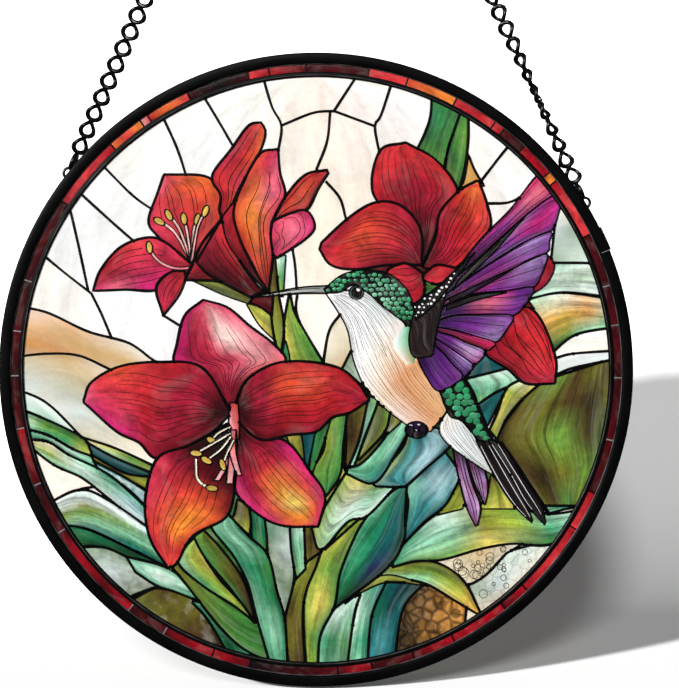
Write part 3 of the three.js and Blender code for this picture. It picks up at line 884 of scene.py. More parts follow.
POINTS, TRIANGLES, OWNERS, CUT_EDGES = flat_net()
SIDES = {}
for number, tri in enumerate(TRIANGLES):
    for a, b in zip(tri, tri[1:] + tri[:1]):
        SIDES.setdefault((min(a, b), max(a, b)), []).append(number)
LEAD_EDGES = {}
for edge, sides in SIDES.items():
    if len(sides) == 2:
        front = max(OWNERS[side] for side in sides)
        if OWNERS[sides[0]] != OWNERS[sides[1]]:
            LEAD_EDGES[edge] = PANES[front]["lead"]
        elif edge in CUT_EDGES and front == 0:
            LEAD_EDGES[edge] = LEAD

PIECE_OF = [-1] * len(TRIANGLES)
PIECES = 0
for seed in range(len(TRIANGLES)):
    if PIECE_OF[seed] < 0:
        waiting = [seed]
        PIECE_OF[seed] = PIECES
        while waiting:
            tri = TRIANGLES[waiting[-1]]
            here = waiting.pop()
            for a, b in zip(tri, tri[1:] + tri[:1]):
                edge = (min(a, b), max(a, b))
                if edge in LEAD_EDGES:
                    continue
                for side in SIDES[edge]:
                    if PIECE_OF[side] < 0 and OWNERS[side] == OWNERS[here]:
                        PIECE_OF[side] = PIECES
                        waiting.append(side)
        PIECES += 1
SHADES = [random.uniform(-1, 1) for _ in range(PIECES)]


def panel_place(x, y, z):
    """a place given from the panel's middle in millimetres, in the object's own frame"""
    return PANEL + Vector((x, y, z)) * MM


def mesh_piece(name, verts, faces, tints=None, flows=None):
    """a piece from its corners and faces, with a colour and a grain direction at each corner"""
    mesh = bpy.data.meshes.new(name)
    mesh.from_pydata(verts, [], faces)
    if tints:
        layer = mesh.color_attributes.new("tint", "FLOAT_COLOR", "POINT")
        layer.data.foreach_set("color", [level for tint in tints for level in (*tint, 1.0)])
    if flows:
        flow = mesh.uv_layers.new(name="flow")
        for corner in mesh.loops:
            flow.data[corner.index].uv = flows[corner.vertex_index]
    piece = bpy.data.objects.new(name, mesh)
    bpy.context.collection.objects.link(piece)
    return piece


def plates(name, kinds):
    """all plates of the given kinds of glass as one piece"""
    verts = []
    faces = []
    tints = []
    flows = []
    known = {}

    def corner(index, owner, piece, side):
        key = (index, owner, piece, side)
        if key not in known:
            one = PANES[owner]
            t, v = place_in(one, POINTS[index])
            tint = tint_in(one, t, v) * (1 + 0.05 * SHADES[piece])
            if one["glass"] in ("scaled",):
                tint = glass_colour("black")
            if owner == 0:
                warm = 0.5 + 0.5 * SHADES[piece]
                tint = tint.lerp(glass_colour("white"), 1 - warm)
            known[key] = len(verts)
            verts.append(panel_place(POINTS[index].x, side * GLASS_HALF, POINTS[index].y))
            tints.append(tint)
            shift = owner * 7.3 + piece * 3.1
            flows.append((v * one["width"] + shift, t * one["length"] + shift))
        return known[key]

    for tri, owner, piece in zip(TRIANGLES, OWNERS, PIECE_OF):
        if PANES[owner]["glass"] not in kinds:
            continue
        front = [corner(i, owner, piece, -1) for i in tri]
        back = [corner(i, owner, piece, 1) for i in tri]
        faces.append(front)
        faces.append(back[::-1])
        for i in range(3):
            edge = (min(tri[i], tri[i - 1]), max(tri[i], tri[i - 1]))
            if len(SIDES[edge]) == 1 or any(PIECE_OF[s] != piece for s in SIDES[edge]):
                faces.append([front[i - 1], back[i - 1], back[i], front[i]])
    return mesh_piece(name, verts, faces, tints, flows)


def streak_group():
    """streaks that run along a pane: the glass's tint made lighter and darker, and pale wisps"""
    group = bpy.data.node_groups.new("glass_streaks", "ShaderNodeTree")
    face = group.interface
    face.new_socket("Tint", in_out="INPUT", socket_type="NodeSocketColor")
    for name in ("Contrast", "Wisps", "Across", "Along"):
        face.new_socket(name, in_out="INPUT", socket_type="NodeSocketFloat")
    face.new_socket("Colour", in_out="OUTPUT", socket_type="NodeSocketColor")
    face.new_socket("Height", in_out="OUTPUT", socket_type="NodeSocketFloat")
    nodes, links = group.nodes, group.links
    given = nodes.new("NodeGroupInput")
    result = nodes.new("NodeGroupOutput")
    flow = nodes.new("ShaderNodeUVMap")
    flow.uv_map = "flow"
    size = nodes.new("ShaderNodeCombineXYZ")
    links.new(given.outputs["Across"], size.inputs["X"])
    links.new(given.outputs["Along"], size.inputs["Y"])
    stretch = nodes.new("ShaderNodeVectorMath")
    stretch.operation = "MULTIPLY"
    links.new(flow.outputs["UV"], stretch.inputs[0])
    links.new(size.outputs["Vector"], stretch.inputs[1])
    broad = nodes.new("ShaderNodeTexNoise")
    broad.inputs["Scale"].default_value = 1.0
    broad.inputs["Detail"].default_value = 7.0
    broad.inputs["Roughness"].default_value = 0.66
    broad.inputs["Distortion"].default_value = 0.6
    links.new(stretch.outputs["Vector"], broad.inputs["Vector"])
    wisp = nodes.new("ShaderNodeTexNoise")
    wisp.inputs["Scale"].default_value = 0.55
    wisp.inputs["Detail"].default_value = 4.0
    wisp.inputs["Distortion"].default_value = 1.2
    links.new(stretch.outputs["Vector"], wisp.inputs["Vector"])
    low = nodes.new("ShaderNodeMath")
    low.operation = "SUBTRACT"
    low.inputs[0].default_value = 1.0
    links.new(given.outputs["Contrast"], low.inputs[1])
    high = nodes.new("ShaderNodeMath")
    high.operation = "ADD"
    high.inputs[0].default_value = 1.0
    links.new(given.outputs["Contrast"], high.inputs[1])
    strength = nodes.new("ShaderNodeMapRange")
    strength.inputs["From Min"].default_value = 0.32
    strength.inputs["From Max"].default_value = 0.68
    links.new(broad.outputs["Fac"], strength.inputs["Value"])
    links.new(low.outputs["Value"], strength.inputs["To Min"])
    links.new(high.outputs["Value"], strength.inputs["To Max"])
    cloud = nodes.new("ShaderNodeTexNoise")
    cloud.inputs["Scale"].default_value = 0.42
    cloud.inputs["Detail"].default_value = 6.0
    cloud.inputs["Roughness"].default_value = 0.7
    cloud.inputs["Distortion"].default_value = 0.8
    links.new(flow.outputs["UV"], cloud.inputs["Vector"])
    mottle = nodes.new("ShaderNodeMapRange")
    mottle.inputs["From Min"].default_value = 0.0
    mottle.inputs["From Max"].default_value = 1.0
    links.new(cloud.outputs["Fac"], mottle.inputs["Value"])
    links.new(low.outputs["Value"], mottle.inputs["To Min"])
    links.new(high.outputs["Value"], mottle.inputs["To Max"])
    together = nodes.new("ShaderNodeMath")
    together.operation = "MULTIPLY"
    links.new(strength.outputs["Result"], together.inputs[0])
    links.new(mottle.outputs["Result"], together.inputs[1])
    shaded = nodes.new("ShaderNodeVectorMath")
    shaded.operation = "SCALE"
    links.new(given.outputs["Tint"], shaded.inputs[0])
    links.new(together.outputs["Value"], shaded.inputs["Scale"])
    mask = nodes.new("ShaderNodeMapRange")
    mask.inputs["From Min"].default_value = 0.52
    mask.inputs["From Max"].default_value = 0.72
    links.new(wisp.outputs["Fac"], mask.inputs["Value"])
    links.new(given.outputs["Wisps"], mask.inputs["To Max"])
    blend = nodes.new("ShaderNodeMix")
    blend.data_type = "RGBA"
    blend.inputs[7].default_value = (0.31, 0.3, 0.26, 1)
    links.new(mask.outputs["Result"], blend.inputs[0])
    links.new(shaded.outputs["Vector"], blend.inputs[6])
    links.new(blend.outputs[2], result.inputs["Colour"])
    links.new(broad.outputs["Fac"], result.inputs["Height"])
    return group


GLASS_STREAKS = streak_group()


def glass_material(name, contrast, wisps, across, along, roughness=0.22, bump=0.25, pattern=None):
    """opalescent glass: streaked tint, a gloss, a little light through, and a rolled surface; a pattern adds cells to
    the relief, with painted shade and highlight that follow them
    """
    made, nodes, links, shader = new_material(name)
    tint = nodes.new("ShaderNodeVertexColor")
    tint.layer_name = "tint"
    streaks = nodes.new("ShaderNodeGroup")
    streaks.node_tree = GLASS_STREAKS
    streaks.inputs["Contrast"].default_value = contrast
    streaks.inputs["Wisps"].default_value = wisps
    streaks.inputs["Across"].default_value = across
    streaks.inputs["Along"].default_value = along
    links.new(tint.outputs["Color"], streaks.inputs["Tint"])
    colour = streaks.outputs["Colour"]
    height = streaks.outputs["Height"]
    if pattern:
        # The cells raise the relief and scale the colour by the same height: darker where the surface dips, lighter
        # where it rises, a painted shade and highlight.
        place = nodes.new("ShaderNodeTexCoord")
        cells = nodes.new("ShaderNodeTexVoronoi")
        cells.feature = pattern[0]
        cells.inputs["Scale"].default_value = pattern[1]
        links.new(place.outputs["Object"], cells.inputs["Vector"])
        relief_shading = nodes.new("ShaderNodeMapRange")
        relief_shading.inputs["From Max"].default_value = pattern[2]
        relief_shading.inputs["To Min"].default_value = pattern[3]
        relief_shading.inputs["To Max"].default_value = pattern[4]
        links.new(cells.outputs["Distance"], relief_shading.inputs["Value"])
        shade = nodes.new("ShaderNodeVectorMath")
        shade.operation = "SCALE"
        links.new(colour, shade.inputs[0])
        links.new(relief_shading.outputs["Result"], shade.inputs["Scale"])
        colour = shade.outputs["Vector"]
        height = cells.outputs["Distance"]
    links.new(colour, shader.inputs["Base Color"])
    relief = nodes.new("ShaderNodeBump")
    relief.inputs["Strength"].default_value = bump
    relief.inputs["Distance"].default_value = 0.0004
    links.new(height, relief.inputs["Height"])
    links.new(relief.outputs["Normal"], shader.inputs["Normal"])
    shader.inputs["Roughness"].default_value = roughness
    shader.inputs["Specular IOR Level"].default_value = 0.1
    shader.inputs["Transmission Weight"].default_value = 0.06
    return made


opal_glass = glass_material("opal_glass", 0.18, 0.2, 0.14, 0.035)
leaf_glass = glass_material("leaf_glass", 0.62, 0.12, 0.6, 0.04)
petal_glass = glass_material("petal_glass", 0.5, 0.06, 0.32, 0.12)
feather_glass = glass_material("feather_glass", 0.6, 0.08, 0.9, 0.06)
body_glass = glass_material("body_glass", 0.1, 0.1, 0.5, 0.2)
wavy_glass = glass_material("wavy_glass", 0.3, 0.3, 0.25, 0.2, bump=0.5, pattern=("SMOOTH_F1", 420, 0.9, 0.8, 1.2))
pebbled_glass = glass_material("pebbled_glass", 0.6, 0.06, 0.35, 0.3, bump=0.6, pattern=("DISTANCE_TO_EDGE", 260, 0.2, 0.3, 1.35))
crackled_glass = glass_material(
    "crackled_glass", 0.2, 0.2, 0.3, 0.3, bump=0.5, pattern=("DISTANCE_TO_EDGE", 300, 0.08, 0.72, 1.05)
)

for name, kinds, material in (
    ("opal_panes", ("opal",), opal_glass),
    ("leaf_panes", ("leaf",), leaf_glass),
    ("petal_panes", ("petal",), petal_glass),
    ("wing_panes", ("feather", "dotted", "eye"), feather_glass),
    ("bird_panes", ("breast", "bill", "scaled"), body_glass),
    ("wavy_panes", ("wavy",), wavy_glass),
    ("pebbled_panes", ("pebbled",), pebbled_glass),
    ("crackled_panes", ("crackled", "bubbled"), crackled_glass),
):
    finish_piece(plates(name, kinds), material, "picture_glass", "picture_glass")

# ---------------------------------------------------------------------------------------------
# The leading: black came between the panes, through the whole thickness and a little proud on
# both faces, with solder over each joint, and the finer lines fired on to the glass.
# ---------------------------------------------------------------------------------------------
LEAD_PROUD = 0.5
LINE_PROUD = 0.1
SOLDER_SIDES = 8


def bar(verts, faces, line, widths, proud, closed=False):
    """a bar that follows a line, standing proud of both faces of the glass"""
    count = len(line)
    first = len(verts)
    half = GLASS_HALF + proud
    shoulder = GLASS_HALF + proud * 0.25
    for i, p in enumerate(line):
        before = line[i - 1] if i or closed else p
        after = line[(i + 1) % count] if i < count - 1 or closed else p
        run = (after - before).normalized() if (after - before).length > 1e-6 else Vector((1, 0))
        out = Vector((-run.y, run.x))
        for side, y in ((-1, -shoulder), (-0.5, -half), (0.5, -half), (1, -shoulder),
                        (1, shoulder), (0.5, half), (-0.5, half), (-1, shoulder)):
            spot = p + out * side * widths[i] / 2
            verts.append(panel_place(spot.x, y, spot.y))
    for i in range(count if closed else count - 1):
        a = first + i * 8
        b = first + (i + 1) % count * 8
        for j in range(8):
            k = (j + 1) % 8
            faces.append([a + j, b + j, b + k, a + k])
    if not closed:
        faces.append([first + j for j in range(8)])
        faces.append([first + (count - 1) * 8 + 7 - j for j in range(8)])


def blob(verts, faces, x, z, radius, proud, sides=SOLDER_SIDES, tints=None, tint=None, squash=1.0):
    """a low rounded drop through the glass, the same on both faces"""
    first = len(verts)
    rings = ((0.55, -GLASS_HALF - proud), (0.92, -GLASS_HALF - proud * 0.6), (1.0, -GLASS_HALF),
             (1.0, GLASS_HALF), (0.92, GLASS_HALF + proud * 0.6), (0.55, GLASS_HALF + proud))
    for scale, y in rings:
        for i in range(sides):
            angle = math.tau * i / sides
            verts.append(panel_place(x + radius * scale * math.cos(angle), y,
                                     z + radius * squash * scale * math.sin(angle)))
            if tints is not None:
                tints.append(tint)
    for ring in range(len(rings) - 1):
        for i in range(sides):
            j = (i + 1) % sides
            a = first + ring * sides
            faces.append([a + i, a + sides + i, a + sides + j, a + j])
    faces.append([first + i for i in range(sides)])
    faces.append([first + (len(rings) - 1) * sides + sides - 1 - i for i in range(sides)])


def lead_chains():
    """the lead edges joined end to end into lines, split where three or more meet"""
    meets = {}
    for a, b in LEAD_EDGES:
        meets.setdefault(a, []).append(b)
        meets.setdefault(b, []).append(a)
    used = set()
    lines = []
    starts = [v for v in meets if len(meets[v]) != 2] + list(meets)
    for start in starts:
        for step in meets[start]:
            if (min(start, step), max(start, step)) in used:
                continue
            line = [start, step]
            used.add((min(start, step), max(start, step)))
            while len(meets[line[-1]]) == 2 and line[-1] != start:
                ahead = [v for v in meets[line[-1]] if v != line[-2]]
                if not ahead or (min(line[-1], ahead[0]), max(line[-1], ahead[0])) in used:
                    break
                used.add((min(line[-1], ahead[0]), max(line[-1], ahead[0])))
                line.append(ahead[0])
            lines.append(line)
    return lines, [v for v in meets if len(meets[v]) > 2]


lead_verts = []
lead_faces = []
lead_lines, joints = lead_chains()
for line in lead_lines:
    widths = []
    for i, v in enumerate(line):
        edge = (min(v, line[i - 1]), max(v, line[i - 1])) if i else (min(v, line[1]), max(v, line[1]))
        wander = noise.noise((POINTS[v].x * 0.12, POINTS[v].y * 0.12, 3.0))
        widths.append(LEAD_EDGES.get(edge, LEAD) * (1 + 0.22 * wander))
    widths = [w for w in widths if w > 0]
    if len(widths) < len(line):
        continue
    closed = line[0] == line[-1] and len(line) > 3
    bar(lead_verts, lead_faces, [POINTS[v] for v in (line[:-1] if closed else line)], widths, LEAD_PROUD, closed)
for v in joints:
    around = [width for edge, width in LEAD_EDGES.items() if v in edge]
    blob(lead_verts, lead_faces, POINTS[v].x, POINTS[v].y, max(around) * 0.62 + 0.06, LEAD_PROUD + 0.05)
black_lead = metal_material("black_lead", (0.0008, 0.0008, 0.0009, 1), (0.0016, 0.0016, 0.0016, 1), 0.3, 0.0, 240, 0.03)
finish_piece(mesh_piece("leading", lead_verts, lead_faces), black_lead, "picture_glass", "picture_glass")

seen = BVHTree.FromPolygons([(p.x, p.y, 0) for p in POINTS], TRIANGLES)


def owner_at(p):
    """the pane that shows at a place"""
    found = seen.ray_cast(Vector((p.x, p.y, 1)), Vector((0, 0, -1)))[2]
    return OWNERS[found] if found is not None else None


LINE_COLOURS = {
    "dark": (0.004, 0.001, 0.0013, 1),
    "hair": (0.06, 0.055, 0.052, 1),
    "rust": (0.13, 0.06, 0.028, 1),
    "white": (0.38, 0.37, 0.38, 1),
}
for colour, paint in LINE_COLOURS.items():
    line_verts = []
    line_faces = []
    for one, trail, width, paint_name in VEINS:
        if paint_name != colour:
            continue
        runs = [[]]
        for i, (t, v) in enumerate(trail):
            spot = spot_in(one, t, v)
            if 0.02 < v < 0.98 and owner_at(spot) == one["number"]:
                runs[-1].append((spot, width * (0.35 + 0.65 * math.sin(math.pi * (0.15 + 0.8 * i / len(trail))))))
            elif runs[-1]:
                runs.append([])
        for run in runs:
            if len(run) > 1:
                bar(line_verts, line_faces, [p for p, _ in run], [w for _, w in run], LINE_PROUD)
    if line_verts:
        fired = metal_material(f"fired_line_{colour}", paint, tuple(min(1, c * 1.3) for c in paint), 0.5, 0.0, 300)
        finish_piece(mesh_piece(f"fired_lines_{colour}", line_verts, line_faces), fired, "picture_glass")

# Small raised drops of glass: the green scales, the white spots of the wing band, and bubbles
SCALE_STEP = 1.7
drop_verts = []
drop_faces = []
drop_tints = []
random.seed(5)
for one in [p for p in PANES if p["glass"] in ("scaled", "dotted")]:
    xs = [p.x for p in one["outline"]]
    zs = [p.y for p in one["outline"]]
    dotted = one["glass"] == "dotted"
    big = one is RUMP
    step = 1.5 if dotted else (2.25 if big else SCALE_STEP)
    for i in range(int((max(zs) - min(zs)) / (step * 0.87)) + 1):
        for j in range(int((max(xs) - min(xs)) / step) + 1):
            x = min(xs) + (j + 0.5 * (i % 2)) * step + random.uniform(-0.2, 0.2) * step
            z = min(zs) + i * step * 0.87 + random.uniform(-0.2, 0.2) * step
            edge = min(math.hypot(x - p.x, z - p.y) for p in one["outline"])
            if owner_at(Vector((x, z))) != one["number"] or edge < step * 0.42:
                continue
            t, v = place_in(one, Vector((x, z)))
            tint = glass_colour("white") if dotted else tint_in(one, t, v) * random.uniform(0.55, 1.35)
            radius = step * (random.uniform(0.22, 0.36) if dotted else random.uniform(0.42, 0.54) + (0.06 if big else 0.0))
            blob(drop_verts, drop_faces, x, z, radius, 0.22, 7, drop_tints, tint, random.uniform(0.75, 1.0))
drops = mesh_piece("glass_drops", drop_verts, drop_faces, drop_tints, [(v.x * 1000, v.z * 1000) for v in drop_verts])
finish_piece(drops, glass_material("drop_glass", 0.15, 0.05, 0.5, 0.5, roughness=0.2), "picture_glass")

bubble_verts = []
bubble_faces = []
for one in [p for p in PANES if p["glass"] in ("bubbled", "crackled", "pebbled")]:
    for _ in range(46 if one["glass"] == "bubbled" else 26):
        centre = spot_in(one, random.uniform(0.05, 0.95), random.uniform(0.08, 0.92))
        radius = random.uniform(0.5, 1.7)
        ring = [centre + Vector((math.cos(a), math.sin(a))) * radius for a in (math.tau * i / 14 for i in range(14))]
        if all(owner_at(p) == one["number"] for p in ring):
            bar(bubble_verts, bubble_faces, ring, [0.22] * 14, LINE_PROUD, True)
bubble_rings = metal_material("bubble_ring", (0.02, 0.016, 0.008, 1), (0.06, 0.05, 0.035, 1), 0.35, 0.0, 300)
finish_piece(mesh_piece("bubble_rings", bubble_verts, bubble_faces), bubble_rings, "picture_glass")

# ---------------------------------------------------------------------------------------------
# The border: red glass bricks end to end in the rim's groove, and the black came inside them.
# ---------------------------------------------------------------------------------------------
BRICK_INNER = 93.3
BRICK_OUTER = 98.2
CAME_INNER = 92.3
CAME_OUTER = 93.95
CAME_HALF = 2.3
BRICKS = [  # where each starts, in degrees anticlockwise from the right, and its glass
    (26.3, "scarlet scarlet ruby"), (38.2, "flame orange"), (40.2, "ruby ruby"), (47, "maroon garnet"),
    (52, "ruby scarlet"), (54.1, "scarlet ruby scarlet"), (62.6, "flame orange coral"), (72.5, "scarlet scarlet"),
    (80, "maroon garnet maroon"), (92, "garnet ruby"), (99, "ruby scarlet"), (103, "maroon black maroon"),
    (115, "scarlet orange ruby"), (123.6, "scarlet petal"), (125.3, "flame scarlet orange"),
    (132.4, "ruby scarlet ruby"), (146.5, "maroon garnet maroon"), (162.9, "maroon garnet"),
    (172.7, "garnet maroon"), (181.2, "maroon garnet"), (191.3, "ruby garnet"), (202.4, "maroon garnet"),
    (212.4, "garnet ruby garnet ruby"), (232.1, "maroon garnet"), (240, "garnet ruby"), (250, "ruby garnet"),
    (257.3, "black maroon garnet"), (274.1, "garnet ruby"), (280.6, "maroon garnet"), (288.8, "garnet ruby"),
    (297, "ruby ruby"), (308.3, "garnet ruby"), (313.7, "ruby scarlet ruby"), (328.4, "scarlet ruby"),
    (336, "maroon garnet"), (346.5, "garnet maroon"), (358.4, "maroon garnet"), (368.4, "garnet maroon"),
    (376, "maroon garnet"),
]
# A lighter, more metallic solder than the black lead, for painted highlights on some border joints.
solder_painted_highlight = metal_material("solder_painted_highlight", (0.1, 0.1, 0.105, 1), (0.2, 0.2, 0.21, 1), 0.35, 0.6, 500)
# A dim metal a little lighter than the black lead, for thin painted highlight lines.
painted_highlight_metal = metal_material("painted_highlight_metal", (0.006, 0.006, 0.006, 1), (0.06, 0.058, 0.056, 1), 0.35, 0.5, 160)

bricks = []
highlight_joint_verts = []
highlight_joint_faces = []
dark_verts = []
dark_faces = []
for (start, tints), following in zip(BRICKS, BRICKS[1:] + [(BRICKS[0][0] + 360, "")]):
    turn = following[0] - start
    brick = turned_ring("brick", BRICK_INNER, BRICK_OUTER, GLASS_HALF, 0.2, max(3, round(turn)), start, turn)
    row = [glass_colour(name) for name in tints.split()]
    layer = brick.data.color_attributes.new("tint", "FLOAT_COLOR", "POINT")
    flow = brick.data.uv_layers.new(name="flow") if not brick.data.uv_layers else brick.data.uv_layers[0]
    flow.name = "flow"
    spots = []
    for vert in brick.data.vertices:
        out = (vert.co - PANEL) / MM
        angle = (math.degrees(math.atan2(out.z, out.x)) - start + 1) % 360 - 1
        at = min(max(angle / turn, 0), 1) * (len(row) - 1)
        low = min(int(at), max(len(row) - 2, 0))
        tint = row[low].lerp(row[min(low + 1, len(row) - 1)], at - low)
        layer.data[vert.index].color = (*tint, 1)
        spots.append((math.hypot(out.x, out.z), (angle + start) * 1.65))
    for corner in brick.data.loops:
        flow.data[corner.index].uv = spots[corner.vertex_index]
    bricks.append(brick)
    ray = Vector((math.cos(math.radians(start)), math.sin(math.radians(start))))
    # Some joints, chosen by where they lie round the ring, take the lighter solder as a painted highlight; the rest are
    # black lead.
    if 160 < start < 250 or start > 340:
        bar(highlight_joint_verts, highlight_joint_faces, [ray * 93.8, ray * 96.9], [0.45, 0.45], 0.15)
    else:
        bar(dark_verts, dark_faces, [ray * 93.8, ray * 96.9], [0.55, 0.55], 0.15)
bpy.ops.object.select_all(action="DESELECT")
for brick in bricks:
    brick.select_set(True)
bpy.context.view_layer.objects.active = bricks[0]
bpy.ops.object.join()
border = bpy.context.active_object
border.name = "border_bricks"
brick_glass = glass_material("brick_glass", 0.45, 0.06, 0.5, 0.22)
finish_piece(border, brick_glass, "border_glass", "border_glass")
# A short line of the lighter solder across the rim at the sleeve's end: a painted highlight.
notch = Vector((math.cos(math.radians(SLEEVE_FROM)), math.sin(math.radians(SLEEVE_FROM))))
bar(highlight_joint_verts, highlight_joint_faces, [notch * 97.2, notch * 100], [0.35, 0.35], RIM_HALF_DEPTH - GLASS_HALF + 0.45)
finish_piece(mesh_piece("border_joints_painted_highlight", highlight_joint_verts, highlight_joint_faces), solder_painted_highlight, "black_came")
finish_piece(mesh_piece("border_lead", dark_verts, dark_faces), black_lead, "black_came")

came = turned_ring("inner_came", CAME_INNER, CAME_OUTER, CAME_HALF, 0.45, RIM_STEPS)
finish_piece(came, black_lead, "black_came", "border_came")
# Thin rings of that lighter metal between the rim and the bricks and along the came: painted highlight lines.
rim_highlight_ring = turned_ring("rim_highlight_line", 96.35, 96.7, 1.9, 0.12, RIM_STEPS)
finish_piece(rim_highlight_ring, painted_highlight_metal, "black_came")
came_highlight_line = turned_ring("came_highlight_line", 92.75, 92.95, CAME_HALF + 0.08, 0.06, RIM_STEPS)
finish_piece(came_highlight_line, painted_highlight_metal, "black_came")

# ---------------------------------------------------------------------------------------------
# The chain: black curb links of round wire, each twisted a quarter turn, from an eye behind the
# rim on each side up to one ring, with a plain link at both ends of each run.
# ---------------------------------------------------------------------------------------------
WIRE = 1.5
LINK_WIDTH = 6.2
PITCH = 5.65
EYE_BORE = 1.1
EYE_WIRE = 1.0
SEPARATE_LINKS = 24
RUNS = {
    "left": {"links": 34, "facing": (45, -45), "turning": 31},
    "right": {"links": 36, "facing": (20, 135), "turning": 9},
}
chain_black = metal_material("chain_black", (0.0006, 0.0006, 0.0007, 1), (0.0016, 0.0016, 0.0018, 1), 0.26, 0.0, 700, 0.16)


def wire_link(twist):
    """a link along its own height: a ring of wire pulled out to an oval, then twisted"""
    bend = (LINK_WIDTH - WIRE) / 2
    bpy.ops.object.select_all(action="DESELECT")
    bpy.ops.mesh.primitive_torus_add(
        major_radius=bend, minor_radius=WIRE / 2, major_segments=24, minor_segments=10,
        rotation=(math.pi / 2, 0, 0),
    )
    link = bpy.context.active_object
    bpy.ops.object.transform_apply(location=True, rotation=True, scale=True)
    straight = (PITCH + WIRE) / 2 - bend
    for side in (1, -1):
        for vert in link.data.vertices:
            vert.select = vert.co.z * side > 0.001
        bpy.ops.object.mode_set(mode="EDIT")
        bpy.ops.transform.translate(value=(0, 0, side * straight))
        bpy.ops.object.mode_set(mode="OBJECT")
    if twist:
        turn = link.modifiers.new("twist", "SIMPLE_DEFORM")
        turn.deform_method = "TWIST"
        turn.deform_axis = "Z"
        turn.angle = math.radians(twist)
        bpy.ops.object.modifier_apply(modifier="twist")
    return link


curb_link = wire_link(90)
plain_link = wire_link(0)
top_low, top_high = (Vector(corner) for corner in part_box("top_ring"))
top_centre = (top_low + top_high) / 2
for side, run in RUNS.items():
    eye_low, eye_high = (Vector(corner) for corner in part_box(f"{side}_eye"))
    eye_centre = (eye_low + eye_high) / 2
    up = top_centre - eye_centre
    lean = Matrix.Translation(eye_centre) @ Matrix.Rotation(math.atan2(up.x, up.z), 4, "Y") @ Matrix.Scale(MM, 4)
    upper = []
    for k in range(run["links"]):
        is_end = k in (0, run["links"] - 1)
        turned = min(max((k - 1) / run["turning"], 0), 1)
        facing = 90 if is_end else run["facing"][0] + (run["facing"][1] - run["facing"][0]) * turned
        link = bpy.data.objects.new("link", (plain_link if is_end else curb_link).data.copy())
        bpy.context.collection.objects.link(link)
        place = Matrix.Translation((0, 0, EYE_BORE + (k + 0.5) * PITCH)) @ Matrix.Rotation(math.radians(facing), 4, "Z")
        link.data.transform(lean @ place)
        if k < SEPARATE_LINKS:
            link.name = f"{side}_chain_link_{k + 1:02d}"
            finish_piece(link, chain_black, "black_metal", f"{side}_link_{k + 1:02d}", smooth=60)
        else:
            upper.append(link)
    bpy.ops.object.select_all(action="DESELECT")
    for link in upper:
        link.select_set(True)
    bpy.context.view_layer.objects.active = upper[0]
    bpy.ops.object.join()
    upper[0].name = f"{side}_chain_upper"
    finish_piece(upper[0], chain_black, "black_metal", f"{side}_upper_links", smooth=60)
    bpy.ops.object.select_all(action="DESELECT")
    bpy.ops.mesh.primitive_torus_add(
        major_radius=(EYE_BORE + EYE_WIRE / 2) * MM, minor_radius=EYE_WIRE / 2 * MM,
        major_segments=32, minor_segments=12, location=eye_centre, rotation=(math.pi / 2, 0, 0),
    )
    eye = bpy.context.active_object
    bpy.ops.object.transform_apply(location=True, rotation=True, scale=True)
    eye.name = f"{side}_hanging_eye"
    finish_piece(eye, chain_black, "black_metal", f"{side}_eye", smooth=60)
for spare in (curb_link, plain_link):
    bpy.data.objects.remove(spare)

# ---------------------------------------------------------------------------------------------
# The ring at the top: one closed turn of thicker black wire that a hook goes through.
# ---------------------------------------------------------------------------------------------
RING_BORE = 3.8
RING_WIRE = 1.4
bpy.ops.object.select_all(action="DESELECT")
bpy.ops.mesh.primitive_torus_add(
    major_radius=(RING_BORE + RING_WIRE / 2) * MM, minor_radius=RING_WIRE / 2 * MM,
    major_segments=48, minor_segments=14, location=top_centre, rotation=(math.pi / 2, 0, 0),
)
hanging_ring = bpy.context.active_object
bpy.ops.object.transform_apply(location=True, rotation=True, scale=True)
hanging_ring.name = "hanging_ring"
finish_piece(hanging_ring, chain_black, "black_metal", "top_ring", smooth=60)

# ---------------------------------------------------------------------------------------------
# The setting: a white floor just under the panel, two soft suns, and a camera that looks level
# at the panel from a little above and to the right of its middle.
# ---------------------------------------------------------------------------------------------
FLOOR_HALF = 20.0
FLOOR_GAP = 0.001
SWEEP_BACK = 0.27
SWEEP_ROUND = 0.12
SWEEP_HEIGHT = 3.0
CAMERA_DISTANCE = 0.55
CAMERA_ASIDE = 0.00737
CAMERA_ABOVE = 0.00804
FRAME_WIDTH = 0.2149

floor_height = rim_low.z - FLOOR_GAP
profile = [(-FLOOR_HALF, 0), (-1, 0)]
for i in range(17):
    angle = math.pi / 2 * i / 16
    profile.append((SWEEP_BACK - SWEEP_ROUND * (1 - math.sin(angle)), SWEEP_ROUND * (1 - math.cos(angle))))
profile.append((SWEEP_BACK, SWEEP_HEIGHT))
floor_mesh = bpy.data.meshes.new("floor")
floor_mesh.from_pydata(
    [(side * FLOOR_HALF, y, floor_height + z) for y, z in profile for side in (-1, 1)], [],
    [(2 * i, 2 * i + 1, 2 * i + 3, 2 * i + 2) for i in range(len(profile) - 1)],
)
floor = bpy.data.objects.new("floor", floor_mesh)
bpy.context.collection.objects.link(floor)
floor_mesh.shade_smooth()
floor_white, floor_nodes, floor_links, floor_shader = new_material("floor_white")
floor_shader.inputs["Base Color"].default_value = (0.9, 0.9, 0.9, 1)
floor_shader.inputs["Roughness"].default_value = 0.8
floor_shader.inputs["Specular IOR Level"].default_value = 0.0
floor_side = floor_nodes.new("ShaderNodeNewGeometry")
floor_clear = floor_nodes.new("ShaderNodeBsdfTransparent")
floor_mix = floor_nodes.new("ShaderNodeMixShader")
floor_links.new(floor_side.outputs["Backfacing"], floor_mix.inputs["Fac"])
floor_links.new(floor_shader.outputs["BSDF"], floor_mix.inputs[1])
floor_links.new(floor_clear.outputs["BSDF"], floor_mix.inputs[2])
floor_links.new(floor_mix.outputs["Shader"], floor_nodes["Material Output"].inputs["Surface"])
floor.data.materials.append(floor_white)
floor.visible_diffuse = False
floor.visible_glossy = False
floor.visible_transmission = False
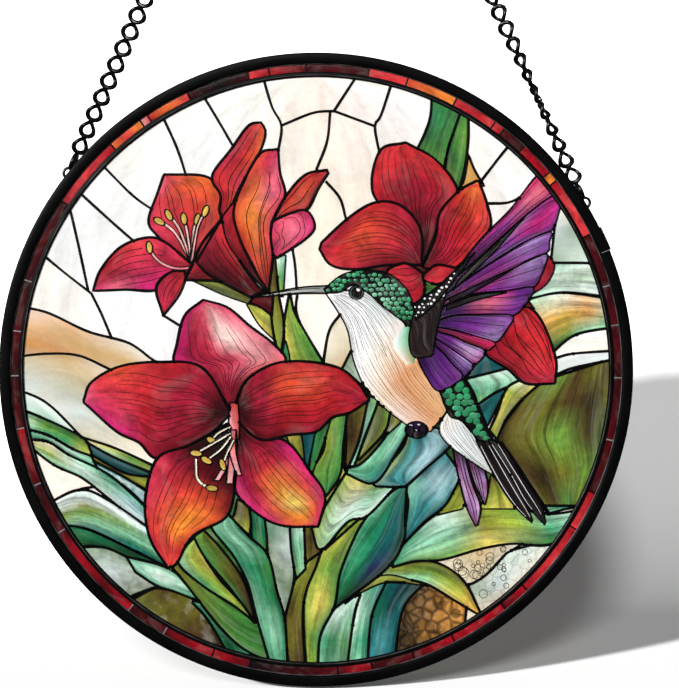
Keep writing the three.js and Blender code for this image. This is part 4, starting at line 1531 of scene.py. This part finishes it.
floor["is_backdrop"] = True


def sun(name, towards, strength, softness):
    """a soft sun that shines from the given direction"""
    light = bpy.data.lights.new(name, "SUN")
    light.energy = strength
    light.angle = math.radians(softness)
    lamp = bpy.data.objects.new(name, light)
    lamp.rotation_euler = Vector(towards).to_track_quat("Z", "Y").to_euler()
    bpy.context.collection.objects.link(lamp)
    return lamp


sun("key_sun", (-0.5, -0.8, 0.3), 7.8, 3)
sun("front_sun", (-0.12, -0.9, 0.36), 1.5, 8)
back_sun = sun("back_sun", (0.3, 0.8, 0.5), 5.0, 20)
back_lit = bpy.data.collections.new("back_lit")
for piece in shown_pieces():
    back_lit.objects.link(piece)
back_sun.light_linking.receiver_collection = back_lit
back_sun.light_linking.blocker_collection = back_lit

world = bpy.data.worlds.new("studio")
bpy.context.scene.world = world
world.use_nodes = True
world_nodes, world_links = world.node_tree.nodes, world.node_tree.links
ambient = world_nodes["Background"]
ambient.inputs["Color"].default_value = (1, 1, 1, 1)
ambient.inputs["Strength"].default_value = 0.13
backdrop = world_nodes.new("ShaderNodeBackground")
backdrop.inputs["Strength"].default_value = 1.0
backdrop.inputs["Color"].default_value = (1, 1, 1, 1)
path = world_nodes.new("ShaderNodeLightPath")
choose = world_nodes.new("ShaderNodeMixShader")
world_links.new(path.outputs["Is Camera Ray"], choose.inputs["Fac"])
world_links.new(ambient.outputs["Background"], choose.inputs[1])
world_links.new(backdrop.outputs["Background"], choose.inputs[2])
world_links.new(choose.outputs["Shader"], world_nodes["World Output"].inputs["Surface"])

lens = bpy.data.cameras.new("camera")
lens.sensor_fit = "HORIZONTAL"
lens.sensor_width = 36
lens.lens = 36 * CAMERA_DISTANCE / FRAME_WIDTH
lens.clip_end = 200
camera = bpy.data.objects.new("camera", lens)
camera.location = PANEL + Vector((CAMERA_ASIDE, -CAMERA_DISTANCE, CAMERA_ABOVE))
camera.rotation_euler = (math.pi / 2, 0, 0)
bpy.context.collection.objects.link(camera)
bpy.context.scene.camera = camera
bpy.context.scene.view_settings.view_transform = "Standard"
